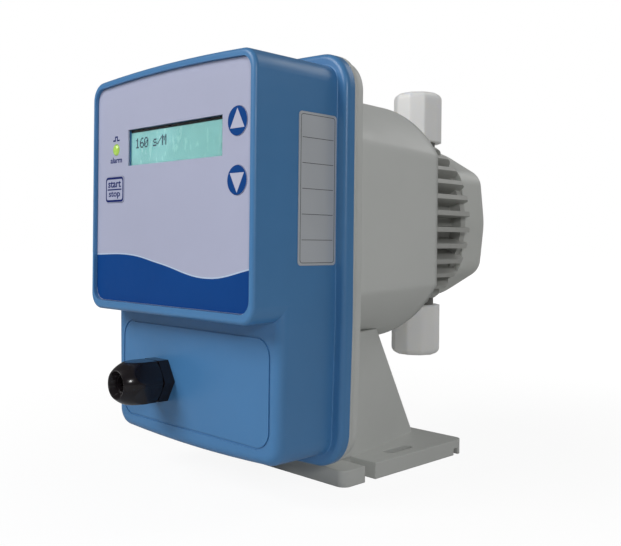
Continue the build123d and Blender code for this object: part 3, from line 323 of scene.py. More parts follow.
@dataclass(frozen=True)
class Finish:
    """A moulded or coated surface: drifting tone, grain, edges lightened partly by rubbing and partly as a
    painted highlight, dust and scuffs.
    """

    name: str
    colour: str
    roughness: float = 0.5
    spread: float = 0.06
    metallic: float = 0.0
    drift: float = 0.04
    drift_size: float = 45 * MM
    grain_size: float = 0.35 * MM
    grain_depth: float = 0.012 * MM
    # Edge lightening toward the paler colour below: partly rubbed wear, partly a painted highlight on every
    # edge.
    rub_and_highlight: float = 0.25
    rub_and_highlight_radius: float = 0.5 * MM
    rubbed_and_highlight_colour: str = "C8C8C4"
    dust: float = 0.1
    coat: float = 0.0
    subsurface: float = 0.0
    specular: float = 0.5
    edge_round: float = 0.0

    def tone(self, graph: Graph, effects: Effects, vector: Socket) -> Socket:
        """The surface's own colour before wear and dust."""
        own = {"Colour": linear(self.colour), "Size": self.drift_size, "Amount": self.drift}
        return effects.drift.place(graph, Vector=vector, **own)

    def relief(self, graph: Graph, effects: Effects, vector: Socket) -> Socket:
        """The surface's fine relief, as a normal."""
        return effects.grain.place(graph, Vector=vector, Size=self.grain_size, Depth=self.grain_depth)

    def constants(self) -> dict[str, object]:
        """What is the same all over the surface, by the shader's input.

        Returns:
            Values by the shader's input.
        """
        whole: dict[str, object] = {
            "Metallic": self.metallic,
            "Specular IOR Level": self.specular,
            "Coat Weight": self.coat,
            "Coat Roughness": COAT_ROUGHNESS,
        }
        if self.subsurface:
            whole["Subsurface Weight"] = self.subsurface
            whole["Subsurface Radius"] = MILK_RADIUS
            whole["Subsurface Scale"] = MILK_DEPTH
        return whole

    def surface(self, graph: Graph, shader: Node) -> Socket:
        """What goes to the material's output."""
        return shader.outputs[0]

    def build(self, effects: Effects) -> Material:
        """Make the material.

        Args:
            effects: the shared effect groups.

        Returns:
            The finished material.
        """
        material = bpy.data.materials.new(self.name)
        graph = cleared(material)
        vector = graph.add("ShaderNodeTexCoord").outputs["Object"]
        colour = self.tone(graph, effects, vector)
        # Lighten edges toward a paler colour: partly wear, partly a painted highlight.
        if self.rub_and_highlight:
            mask = effects.rub_and_highlight.place(graph, Vector=vector, Radius=self.rub_and_highlight_radius, Amount=self.rub_and_highlight)
            colour = graph.mix(mask, colour, linear(self.rubbed_and_highlight_colour))
        if self.dust:
            mask = effects.dust.place(graph, Vector=vector, Amount=self.dust)
            colour = graph.mix(mask, colour, linear(DUST_COLOUR))
        rough = effects.scuff.place(graph, Vector=vector, Roughness=self.roughness, Spread=self.spread)
        normal = self.relief(graph, effects, vector)
        if self.edge_round:
            normal = effects.rounded.place(graph, Normal=normal, Radius=self.edge_round)
        over = {"Base Color": colour, "Roughness": rough, "Normal": normal}
        shader = graph.add("ShaderNodeBsdfPrincipled", self.constants() | over)
        graph.add("ShaderNodeOutputMaterial", {"Surface": self.surface(graph, shader)})
        return material


@dataclass(frozen=True)
class TurnedMetal(Finish):
    """Metal turned on a lathe, with fine rings along the pump axis."""

    metallic: float = 1.0
    roughness: float = 0.32
    pitch: float = 0.25 * MM
    ring_depth: float = 0.006 * MM
    rubbed_and_highlight_colour: str = "E8E8E6"

    def relief(self, graph: Graph, effects: Effects, vector: Socket) -> Socket:
        """Turning rings instead of grain."""
        return effects.rings.place(graph, Vector=vector, Pitch=self.pitch, Depth=self.ring_depth)


@dataclass(frozen=True)
class ClearSheet(Finish):
    """Thin clear plastic that lets lamp light through to what lies behind it."""

    rub_and_highlight: float = 0.0
    dust: float = 0.0
    grain_depth: float = 0.0005 * MM
    grain_size: float = 6 * MM
    index: float = 1.2
    shadow_colour: str = "F2F6F5"

    def constants(self) -> dict[str, object]:
        """The clear sheet's transmission and index."""
        return {"Transmission Weight": 1.0, "IOR": self.index}

    def surface(self, graph: Graph, shader: Node) -> Socket:
        """Glass that casts no shadow.

        Args:
            graph: the material's nodes.
            shader: the surface shader.

        Returns:
            The shader output.
        """
        shadow = graph.add("ShaderNodeLightPath").outputs["Is Shadow Ray"]
        clear = graph.add("ShaderNodeBsdfTransparent", {"Color": linear(self.shadow_colour)})
        return graph.blend(shadow, shader, clear)


@dataclass(frozen=True)
class LitFinish(Finish):
    """A surface that glows faintly from a lamp behind it."""

    rub_and_highlight: float = 0.0
    dust: float = 0.0
    glow: float = 0.06
    glow_colour: str = "78A8A9"

    def constants(self) -> dict[str, object]:
        """Add the faint glow.

        Returns:
            Values by the shader's input.
        """
        return super().constants() | {
            "Emission Color": linear(self.glow_colour),
            "Emission Strength": self.glow,
        }


@dataclass(frozen=True)
class LiquidCrystal(LitFinish):
    """The display's green-blue glass, with soft blotches and a darker right end."""

    deep_colour: str = "629592"
    window_x: tuple[float, float] = (-29 * MM, 36 * MM)

    def tone(self, graph: Graph, effects: Effects, vector: Socket) -> Socket:
        """Blotches between two tones, deepening to the right.

        Args:
            graph: the material's nodes.
            effects: the shared effect groups; not used here.
            vector: the point that patterns read.

        Returns:
            The colour.
        """
        blotch = graph.span(graph.noise(vector, 75.0), 0.36, 0.62, 0.0, 0.6)
        place = graph.add("ShaderNodeSeparateXYZ", {"Vector": vector}).outputs["X"]
        ramp = graph.span(place, *self.window_x, 0.0, 0.45)
        return graph.mix(graph.maths("ADD", blotch, ramp), linear(self.colour), linear(self.deep_colour))


@dataclass(frozen=True)
class Laminate(Finish):
    """Circuit board laminate with copper tracks under its green mask."""

    track_colour: str = "2F7F4C"
    track_pitch: float = 2.54 * MM

    def tone(self, graph: Graph, effects: Effects, vector: Socket) -> Socket:
        """Tracks on a grid, broken up by cells.

        Args:
            graph: the material's nodes.
            effects: the shared effect groups.
            vector: the point that patterns read.

        Returns:
            The colour.
        """
        size = graph.maths("DIVIDE", 1.0, self.track_pitch * 2)
        net = {"Vector": vector, "Scale": size, "Randomness": 0.35}
        cells = graph.add("ShaderNodeTexVoronoi", net, distance="MANHATTAN", feature="DISTANCE_TO_EDGE")
        track = graph.span(cells.outputs[0], 0.06, 0.1, 0.8, 0.0)
        return graph.mix(track, super().tone(graph, effects, vector), linear(self.track_colour))


BARE = {"rub_and_highlight": 0.0, "dust": 0.0}
CLEAN = {"rub_and_highlight": 0.0, "dust": 0.02}
DIM_INK = {"rub_and_highlight": 0.0, "dust": 0.01, "specular": 0.12}


class Slot(Enum):
    """The record's material slots, each with its finish."""

    # Each paler edge colour here is partly wear and partly a painted edge highlight.
    BLUE_PLASTIC = Finish(
        "blue_plastic",
        "4A82B6",
        0.36,
        drift=0.035,
        grain_depth=0.008 * MM,
        rub_and_highlight=0.2,
        rubbed_and_highlight_colour="7FA8CC",
        dust=0.05,
    )
    MEMBRANE_FILM = Finish(
        "membrane_film", "B6BAD3", 0.42, drift=0.02, rub_and_highlight=0.1, rubbed_and_highlight_colour="D0D4E2", dust=0.03
    )
    CLEAR_WINDOW = ClearSheet("clear_window", "F6FAFA", 0.04, 0.02)
    DISPLAY_GLASS = LiquidCrystal("display_glass", "78A8A9", 0.25, 0.05, grain_depth=0.001 * MM)
    LAMP_LENS = LitFinish(
        "lamp_lens",
        "B2D466",
        0.2,
        0.04,
        grain_depth=0.001 * MM,
        coat=0.6,
        subsurface=0.4,
        glow=0.22,
        glow_colour="9CD43C",
    )
    BOARD_LAMINATE = Laminate("board_laminate", "145A34", 0.35, rub_and_highlight=0.0)
    MODULE_BLACK = Finish("module_black", "1B1B1D", 0.5, rubbed_and_highlight_colour="4A4A4C")
    TERMINAL_GREEN = Finish("terminal_green", "2C7A46", 0.45, rubbed_and_highlight_colour="6BA57C")
    GLAND_NYLON = Finish(
        "gland_nylon", "1D191C", 0.2, 0.04, grain_depth=0.002 * MM, coat=0.2, specular=0.3, **CLEAN
    )
    SEAL_RUBBER = Finish("seal_rubber", "1A1A1A", 0.75, rubbed_and_highlight_colour="3A3A3A", specular=0.3)
    HOUSING_GREY = Finish(
        "housing_grey",
        "CFD1CE",
        0.48,
        drift=0.02,
        rub_and_highlight=0.12,
        rubbed_and_highlight_colour="E0E1DE",
        dust=0.06,
        edge_round=5 * MM,
    )
    RING_GREY = Finish("ring_grey", "B4B5B1", 0.55, rub_and_highlight=0.15, rubbed_and_highlight_colour="D2D3CF", dust=0.06)
    HEAD_GREY = Finish(
        "head_grey",
        "CDCFCB",
        0.45,
        drift=0.02,
        rub_and_highlight=0.1,
        rubbed_and_highlight_colour="E8E9E6",
        dust=0.05,
        subsurface=0.2,
    )
    VALVE_GREY = Finish("valve_grey", "6E6E6B", 0.5, rubbed_and_highlight_colour="9C9C98")
    NUT_WHITE = Finish(
        "nut_white", "FCFCFA", 0.38, drift=0.012, subsurface=0.6, edge_round=2 * MM, **CLEAN
    )
    PTFE = Finish("ptfe", "EDEDE8", 0.45, drift=0.015, subsurface=0.4, **CLEAN)
    CERAMIC = Finish("ceramic", "EFEDE4", 0.08, 0.02, coat=0.5, grain_depth=0.0008 * MM, **BARE)
    STEEL = TurnedMetal("steel", "B4B5B6", dust=0.05)
    COPPER_WIRE = TurnedMetal("copper_wire", "B4642F", 0.28, coat=0.5, dust=0.0, rubbed_and_highlight_colour="D98B55")
    BRONZE = TurnedMetal("bronze", "A88448", 0.45, dust=0.0, rubbed_and_highlight_colour="C9A868")
    LABEL_FILM = Finish(
        "label_film", "C9CDD2", 0.36, 0.05, 0.25, drift=0.02, rub_and_highlight=0.0, dust=0.04, grain_depth=0.004 * MM
    )


class Ink(Enum):
    """Inks and small marks that no CAD node carries."""

    NAVY = Finish("navy_ink", "0B458C", 0.45, 0.04, drift_size=30 * MM, **DIM_INK)
    DEEP = Finish("deep_ink", "12246A", 0.45, 0.04, **DIM_INK)
    LILAC = Finish("lilac_ink", "C2C4DA", 0.38, 0.04, drift=0.02, **CLEAN)
    SEGMENT = Finish(
        "display_segment", "14283C", 0.5, 0.03, drift=0.1, drift_size=1 * MM, specular=0.05, **BARE
    )
    PALE = Finish("pale_ink", "C4D6EC", 0.42, 0.04, drift=0.02, rub_and_highlight=0.0, dust=0.01)
    RULE = Finish("label_rule", "4A4D52", 0.45, **CLEAN)
    # Near-black painted shade that the window bezel casts on the top of the display glass.
    BEZEL_SHADE = Finish("window_painted_shade", "040506", 0.7, drift=0.05, specular=0.0, **BARE)
    FOOT = replace(Slot.HOUSING_GREY.value, name="foot_grey", edge_round=0.8 * MM)
    SOLDER = TurnedMetal("solder", "C9CACB", 0.3, dust=0.0)


class Section(Enum):
    """The cross-section of one ring of a turned piece."""

    ROUND = "round"
    HEXAGON = "hexagon"
    CROSS = "cross"
    KNURLED = "knurled"
    FLUTED = "fluted"
    SLIT = "slit"


@dataclass(frozen=True)
class Ring:
    """One ring of a turned piece.

    Attributes:
        along: place on the axis.
        radius: radius, or half the width across flats of a hexagon.
        section: the ring's cross-section.
        wobble: depth of a thread's groove here.
        phase: turn of the thread's groove here.
        limit: the largest reach of a hexagon's corners.
    """

    along: float
    radius: float
    section: Section = Section.ROUND
    wobble: float = 0.0
    phase: float = 0.0
    limit: float = math.inf

    def reach(self, angle: float) -> float:
        """The distance from the axis to the ring at an angle.

        Args:
            angle: the angle round the axis, in radians.

        Returns:
            The distance.
        """
        if self.section is Section.HEXAGON:
            return min(self.limit, self.radius / math.cos(angle % (math.pi / 3) - math.pi / 6))
        if self.section is Section.CROSS:
            return self.radius * (0.34 + 0.66 * abs(math.cos(2 * angle)) ** 3)
        if self.section is Section.KNURLED:
            return self.radius * (1 - 0.03 * abs(math.sin(16 * angle)))
        if self.section is Section.FLUTED:
            return self.radius * (1 - 0.05 * max(0.0, math.cos(12 * angle)) ** 2)
        if self.section is Section.SLIT:
            return self.radius * (1 + 0.24 * max(0.0, math.cos(6 * angle)) ** 16)
        return self.radius - self.wobble * (0.5 + 0.5 * math.cos(angle - self.phase))


def threaded(start: float, end: float, radius: float, pitch: float) -> list[Ring]:
    """The rings of a screw thread from start to end along the axis.

    Args:
        start: where the thread begins.
        end: where it ends.
        radius: outer radius.
        pitch: distance between turns.

    Returns:
        Five rings for each turn.
    """
    steps = max(5, round(abs(end - start) / pitch * 5))
    rings = []
    for i in range(steps + 1):
        along = start + (end - start) * i / steps
        fade = min(1.0, 4 * min(i, steps - i) / steps)
        groove = THREAD_DEPTH * pitch * fade
        rings.append(Ring(along, radius, wobble=groove, phase=math.tau * along / pitch))
    return rings


def skinned(mesh: bmesh.types.BMesh, rows: Sequence[Sequence[bmesh.types.BMVert]]) -> None:
    """Join rows of points, each a closed loop or a single point, by a skin that faces outwards.

    Args:
        mesh: the shape that holds the points.
        rows: the rows in order.
    """
    for first, second in zip(rows, rows[1:]):
        count = max(len(first), len(second))
        for i, j in ((i, (i + 1) % count) for i in range(count)):
            ends = [row[k % len(row)] for row, k in ((first, i), (first, j), (second, j), (second, i))]
            mesh.faces.new(list(dict.fromkeys(ends)))
    bmesh.ops.recalc_face_normals(mesh, faces=mesh.faces)


def as_mesh(shape: bmesh.types.BMesh) -> Mesh:
    """Turn an edited shape into a mesh.

    Args:
        shape: the edited shape, which is freed.

    Returns:
        The mesh.
    """
    mesh = bpy.data.meshes.new("piece")
    shape.to_mesh(mesh)
    shape.free()
    return mesh


def towards(direction: Vector, place: Vector) -> Matrix:
    """The placement that turns local +Z towards a direction and moves the origin to a place."""
    return Matrix.Translation(place) @ direction.to_track_quat("Z", "Y").to_matrix().to_4x4()


def turned(
    rings: Sequence[Ring], segments: int, facing: Vector, place: Vector, loop: bool = False
) -> Mesh:
    """Build a turned piece.

    Args:
        rings: its rings in order. A radius of zero closes an end.
        segments: points round each ring.
        facing: the way that the rings go.
        place: where they start.
        loop: whether the last ring joins the first, as in a tube's wall.

    Returns:
        A closed mesh whose faces point outwards.
    """
    shape = bmesh.new()
    rows = []
    for ring in rings:
        angles = [math.tau * i / segments for i in range(segments if ring.radius else 1)]
        reaches = [ring.reach(a) if ring.radius else 0.0 for a in angles]
        places = [(r * math.cos(a), r * math.sin(a), ring.along) for r, a in zip(reaches, angles)]
        rows.append([shape.verts.new(spot) for spot in places])
    skinned(shape, [*rows, rows[0]] if loop else rows)
    mesh = as_mesh(shape)
    mesh.transform(towards(facing, place))
    return mesh


def shown(name: str, data: bpy.types.ID) -> Object:
    """Add an object to the scene.

    Args:
        name: the object's name.
        data: its mesh, curve, lamp or camera.

    Returns:
        The new object.
    """
    holder = bpy.data.objects.new(name, data)
    bpy.context.scene.collection.objects.link(holder)
    return holder


def evaluated_mesh(source: Object) -> Mesh:
    """A plain mesh of an object as its modifiers leave it; the object is then removed.

    Args:
        source: the object.

    Returns:
        The mesh.
    """
    bpy.context.view_layer.update()
    graph = bpy.context.evaluated_depsgraph_get()
    mesh = bpy.data.meshes.new_from_object(source.evaluated_get(graph))
    bpy.data.objects.remove(source)
    return mesh


def middle_of(node: str) -> Vector:
    """The middle of a CAD node's box."""
    low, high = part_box(node)
    return (low + high) / 2


class Palette:
    """Builds each finish once, and dresses pieces in it."""

    def __init__(self, effects: Effects) -> None:
        """Keep the shared effects."""
        self.effects = effects
        self.made: dict[str, Material] = {}

    def of(self, choice: Slot | Ink) -> Material:
        """The material of a slot or an ink.

        Args:
            choice: a slot or an ink.

        Returns:
            The material.
        """
        if choice.value.name not in self.made:
            self.made[choice.value.name] = choice.value.build(self.effects)
        return self.made[choice.value.name]

    def dress(self, name: str, mesh: Mesh, choice: Slot | Ink) -> Object:
        """Make a piece of a mesh that is already in place.

        Args:
            name: the piece's name.
            mesh: its mesh.
            choice: its finish.

        Returns:
            The piece, at the origin.
        """
        mesh.materials.clear()
        mesh.materials.append(self.of(choice))
        for polygon in mesh.polygons:
            polygon.material_index = 0
        mesh.shade_smooth()
        mesh.set_sharp_from_angle(angle=SMOOTH_ANGLE)
        piece = shown(name, mesh)
        LOG.info("%s: %d faces in %s", name, len(mesh.polygons), choice.value.name)
        return piece

    def seat(
        self, name: str, mesh: Mesh, choice: Slot | Ink, body: str = "base", *replaced: str
    ) -> None:
        """Make a piece that rides on a body and may stand for CAD nodes.

        Args:
            name: the piece's name.
            mesh: its mesh.
            choice: its finish.
            body: the CAD body that it moves with.
            replaced: CAD nodes that it stands for.
        """
        piece = self.dress(name, mesh, choice)
        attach(piece, body)
        if replaced:
            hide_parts(*replaced)


def corner_arc(centre: Point, radius: float, start: float, way: int = 1) -> list[Point]:
    """Points round a quarter of a circle.

    Args:
        centre: the circle's middle.
        radius: its radius.
        start: the angle that it starts at, in degrees.
        way: 1 for anticlockwise or -1 for clockwise.

    Returns:
        Four points.
    """
    angles = [math.radians(start + way * turn) for turn in QUARTER]
    return [(centre[0] + radius * math.cos(a), centre[1] + radius * math.sin(a)) for a in angles]


def print_plane(surface_y: float) -> Matrix:
    """The placement of a flat print, whose local x and y run along X and Z, on a surface facing -Y."""
    turn = Matrix(((1, 0, 0, 0), (0, 0, -1, 0), (0, 1, 0, 0), (0, 0, 0, 1)))
    return Matrix.Translation((0, surface_y - PRINT_THICKNESS / 2, 0)) @ turn


class FlatPrint:
    """Collects flat outlines in the display's plane and gives them a printed thickness."""

    def __init__(self, surface_y: float) -> None:
        """Start an empty print.

        Args:
            surface_y: the Y of the surface that carries it.
        """
        self.surface_y = surface_y
        self.curve = bpy.data.curves.new("print", "CURVE")
        self.curve.dimensions = "2D"
        self.curve.fill_mode = "BOTH"
        self.curve.resolution_u = CURVE_STEPS
        self.curve.extrude = PRINT_THICKNESS / 2

    def outline(self, points: Sequence[Point], smooth: Sequence[int] = ()) -> "FlatPrint":
        """Add a closed outline of (X, Z) points.

        Args:
            points: the outline's corners.
            smooth: numbers of the points that the line passes smoothly.

        Returns:
            The print itself.
        """
        spline = self.curve.splines.new("BEZIER")
        spline.bezier_points.add(len(points) - 1)
        for number, (point, knot) in enumerate(zip(points, spline.bezier_points)):
            knot.co = (*point, 0)
            knot.handle_left_type = knot.handle_right_type = "AUTO" if number in smooth else "VECTOR"
        spline.use_cyclic_u = True
        return self

    def disc(self, x: float, z: float, radius: float) -> "FlatPrint":
        """Add a circle and return the print."""
        return self.outline([(x + radius, z), (x, z + radius), (x - radius, z), (x, z - radius)], range(4))

    def rounded(self, centre: Point, width: float, height: float, radius: float) -> "FlatPrint":
        """Add a rectangle with rounded corners and return the print.

        Args:
            centre: X and Z of its middle.
            width: its width.
            height: its height.
            radius: radius of its corners.

        Returns:
            The print itself.
        """
        across, up = width / 2 - radius, height / 2 - radius
        points = []
        for sx, sz, start in ((1, 1, 0), (-1, 1, 90), (-1, -1, 180), (1, -1, 270)):
            points += corner_arc((centre[0] + sx * across, centre[1] + sz * up), radius, start)
        return self.outline(points)

    def mesh(self) -> Mesh:
        """The print's mesh, lying on its surface.

        Returns:
            The mesh.
        """
        mesh = evaluated_mesh(shown("print", self.curve))
        mesh.transform(print_plane(self.surface_y))
        return mesh


def lettering(words: str, centre: Point, height: float, width: float, surface_y: float) -> Mesh:
    """Print a word on a surface facing -Y.

    Args:
        words: what it says.
        centre: X and Z of its middle.
        height: height of the whole word.
        width: width of the word.
        surface_y: Y of the surface.

    Returns:
        The word's mesh.
    """
    text = bpy.data.curves.new("word", "FONT")
    text.body = words
    text.extrude = PRINT_THICKNESS / 2
    text.offset = STROKE_SWELL
    text.resolution_u = LETTER_STEPS
    mesh = evaluated_mesh(shown("word", text))
    low = [min(v.co[i] for v in mesh.vertices) for i in (0, 1)]
    high = [max(v.co[i] for v in mesh.vertices) for i in (0, 1)]
    middle = Matrix.Translation((-(low[0] + high[0]) / 2, -(low[1] + high[1]) / 2, 0))
    sized = Matrix.Diagonal((width / (high[0] - low[0]), height / (high[1] - low[1]), 1, 1))
    mesh.transform(Matrix.Translation((centre[0], 0, centre[1])) @ print_plane(surface_y) @ sized @ middle)
    return mesh


class Repeater(Graph):
    """A geometry node tree with named inputs, set on a modifier by each input's identifier."""

    def __init__(self, name: str, **inputs: str) -> None:
        """Make the tree.

        Args:
            name: the tree's name.
            inputs: socket kinds by input name, after the geometry.
        """
        super().__init__(bpy.data.node_groups.new(name, "GeometryNodeTree"))
        sockets = self.tree.interface
        sockets.new_socket("Geometry", in_out="INPUT", socket_type="NodeSocketGeometry")
        self.identifiers = {
            label: sockets.new_socket(label, in_out="INPUT", socket_type=f"NodeSocket{kind}").identifier
            for label, kind in (inputs | {"Material": "Material"}).items()
        }
        sockets.new_socket("Geometry", in_out="OUTPUT", socket_type="NodeSocketGeometry")
        self.given = self.tree.nodes.new("NodeGroupInput").outputs

    def random(self, least: float | Socket, most: float) -> Socket:
        """A random number for each point and return its socket."""
        inputs = {"Seed": self.given["Seed"], 2: least, 3: most}
        return self.add("FunctionNodeRandomValue", inputs, data_type="FLOAT").outputs[1]

    def close(self, instance: Socket, **placing: Socket) -> None:
        """Set an instance on each point, make it real, set its material and link the result.

        Args:
            instance: what is set on the points.
            placing: the instances' rotation or scale.
        """
        points = self.add("GeometryNodeMeshToPoints", {"Mesh": self.given["Geometry"]}).outputs[0]
        inputs = {"Points": points, "Instance": instance} | placing
        placed = self.add("GeometryNodeInstanceOnPoints", inputs)
        real = self.add("GeometryNodeRealizeInstances", {0: placed.outputs[0]})
        finish = {0: real.outputs[0], "Material": self.given["Material"]}
        dressed = self.add("GeometryNodeSetMaterial", finish)
        self.tree.links.new(dressed.outputs[0], self.tree.nodes.new("NodeGroupOutput").inputs[0])

    def run(self, sites: Sequence[Vector], **inputs: object) -> Mesh:
        """Run the tree on points and keep its plain mesh.

        Args:
            sites: the points that it starts from.
            inputs: values by input name.

        Returns:
            The finished mesh.
        """
        mesh = bpy.data.meshes.new("sites")
        mesh.from_pydata([tuple(site) for site in sites], [], [])
        holder = shown("sites", mesh)
        modifier = holder.modifiers.new("repeat", "NODES")
        modifier.node_group = self.tree
        for label, value in inputs.items():
            modifier[self.identifiers[label]] = value
        return evaluated_mesh(holder)


class ScrewRepeater(Repeater):
    """Sets a screw on each point, turned towards one direction and twisted at random about it."""

    def __init__(self) -> None:
        """Build the tree."""
        super().__init__("set_screws", Screw="Object", Outward="Vector", Seed="Int")
        screw = self.add("GeometryNodeObjectInfo", {"Object": self.given["Screw"]}).outputs["Geometry"]
        aim = self.add("FunctionNodeAlignRotationToVector", {"Vector": self.given["Outward"]}, axis="Z")
        twist = {"Axis": (0, 0, 1), "Angle": self.random(0.0, math.tau)}
        spin = self.add("FunctionNodeAxisAngleToRotation", twist)
        pair = {0: aim.outputs[0], 1: spin.outputs[0]}
        turn = self.add("FunctionNodeRotateRotation", pair, rotation_space="LOCAL")
        self.close(screw, Rotation=turn.outputs[0])


class BlockRepeater(Repeater):
    """Sets a small block on each point, such as a display's dot or a board's part."""

    def __init__(self) -> None:
        """Build the tree."""
        super().__init__("set_blocks", Size="Vector", Least="Float", Seed="Int")
        block = self.add("GeometryNodeMeshCube", {"Size": self.given["Size"]})
        swing = self.random(self.given["Least"], 1.0)
        across = self.add("ShaderNodeCombineXYZ", {"X": swing, "Y": 1.0, "Z": swing})
        self.close(block.outputs[0], Scale=across.outputs[0])


class CoilRepeater(Repeater):
    """Winds round wire turns side by side on each point, about the Y axis."""

    def __init__(self) -> None:
        """Build the tree."""
        super().__init__("wind_turns", Radius="Float", Wire="Float")
        turn, wire = (
            self.add("GeometryNodeCurvePrimitiveCircle", {"Resolution": count, "Radius": self.given[label]})
            for count, label in ((72, "Radius"), (6, "Wire"))
        )
        wound = {"Curve": turn.outputs[0], "Profile Curve": wire.outputs[0]}
        tube = self.add("GeometryNodeCurveToMesh", wound)
        upright = self.add("FunctionNodeEulerToRotation", {0: (math.pi / 2, 0, 0)})
        self.close(tube.outputs[0], Rotation=upright.outputs[0])


CORNERS: tuple[Point, ...] = ((-1, -1), (1, -1), (1, 1), (-1, 1))
COMPASS: tuple[Point, ...] = ((1, 0), (0, 1), (-1, 0), (0, -1))
OUTSET: tuple[Point, ...] = ((-1.00018, 1), (-0.97711, -1), (1.00018, 1), (0.97711, -1))
FOOT_LINE: tuple[Point, ...] = ((0, -1), (0, 1))


@dataclass(frozen=True)
class Screws:
    """Screws of one kind: a knurled or plain head with a driver recess, and a threaded shank.

    Attributes:
        node: the CAD node that they stand for.
        outward: the way that the heads face, along Y or Z.
        sides: each screw's place across the node's box, from -1 to 1 each way.
        head_radius: radius of the head.
        head_height: height of the head.
        shank_radius: radius of the shank.
        thread_length: length of its thread.
        pitch: the thread's pitch.
        recess: cross-section of the driver recess.
        head: cross-section of the head's side.
        seed: seed of the screws' random turn.
    """

    node: str
    outward: Vector
    sides: tuple[Point, ...]
    head_radius: float
    head_height: float
    shank_radius: float
    thread_length: float
    pitch: float = 0.8 * MM
    recess: Section = Section.HEXAGON
    head: Section = Section.KNURLED
    seed: int = 1

    def sites(self) -> tuple[list[Vector], float]:
        """Find where each head's underside sits, a head's radius inside the node's box.

        Returns:
            One place for each screw, and the length of their shanks.
        """
        low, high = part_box(self.node)
        axis, other = (1, 2) if self.outward.y else (2, 1)
        outer, inner = (high, low) if self.outward[axis] > 0 else (low, high)
        underside = outer[axis] - self.outward[axis] * self.head_height
        middle, half = (low + high) / 2, (high - low) / 2
        places = []
        for across, along in self.sides:
            place = Vector((middle.x + across * (half.x - self.head_radius), 0, 0))
            place[axis] = underside
            place[other] = middle[other] + along * (half[other] - self.head_radius)
            places.append(place)
        return places, abs(underside - inner[axis])

    def rings(self, length: float) -> list[Ring]:
        """The screw's rings from the shank's tip to the bottom of the recess.

        Args:
            length: length of the shank.

        Returns:
            The rings in order.
        """
        top, radius, shank = self.head_height, self.head_radius, self.shank_radius
        edge, recess, depth = radius * 0.1, radius * 0.55, top * 0.6
        return [
            Ring(-length, 0),
            Ring(-length, shank * 0.8),
            *threaded(self.pitch / 2 - length, self.thread_length - length, shank, self.pitch),
            Ring(0, shank),
            Ring(0, radius - edge / 2),
            Ring(edge / 2, radius, self.head),
            Ring(top - 2 * edge, radius, self.head),
            Ring(top - edge / 3, radius - edge),
            Ring(top, radius - 2 * edge),
            Ring(top, recess * 1.08, self.recess),
            Ring(top - edge / 2, recess, self.recess),
            Ring(top - depth, recess, self.recess),
            Ring(top - depth - edge, 0),
        ]

    def build(self, repeater: ScrewRepeater, palette: Palette) -> None:
        """Make one screw and set it on every site.

        Args:
            repeater: the tree that sets screws.
            palette: the finishes.
        """
        sites, length = self.sites()
        pattern = shown("screw", turned(self.rings(length), 48, UP, Vector()))
        steel = palette.of(Slot.STEEL)
        twist = {"Outward": tuple(self.outward), "Seed": self.seed}
        made = repeater.run(sites, Screw=pattern, **twist, Material=steel)
        bpy.data.objects.remove(pattern)
        palette.seat(f"{self.node}_detailed", made, Slot.STEEL, "base", self.node)


CROSSHEAD = (Section.CROSS, Section.ROUND)
SOCKET = (Section.HEXAGON, Section.ROUND)


@dataclass
class Fasteners:
    """Every screw of the pump, with driver recesses and threads."""

    kinds: tuple[Screws, ...] = (
        Screws("head_bolts", REAR, CORNERS, 4.25 * MM, 5.0 * MM, 2.5 * MM, 16 * MM),
        Screws(
            "cover_screws", REAR, OUTSET, 3.2 * MM, 2.4 * MM, 1.6 * MM, 12 * MM, 0.8 * MM, *CROSSHEAD, 2
        ),
        Screws(
            "solenoid_screws", FRONT, COMPASS, 3.6 * MM, 2.4 * MM, 2.0 * MM, 6 * MM, 0.7 * MM, *CROSSHEAD, 3
        ),
        Screws(
            "board_screws", REAR, CORNERS, 2.6 * MM, 1.8 * MM, 1.25 * MM, 8 * MM, 0.6 * MM, *CROSSHEAD, 4
        ),
        Screws("foot_screws", DOWN, FOOT_LINE, 4.0 * MM, 2.6 * MM, 2.0 * MM, 9 * MM, 0.7 * MM, *SOCKET, 5),
    )

    def build(self, palette: Palette) -> None:
        """Set all the screws."""
        repeater = ScrewRepeater()
        for screws in self.kinds:
            screws.build(repeater, palette)


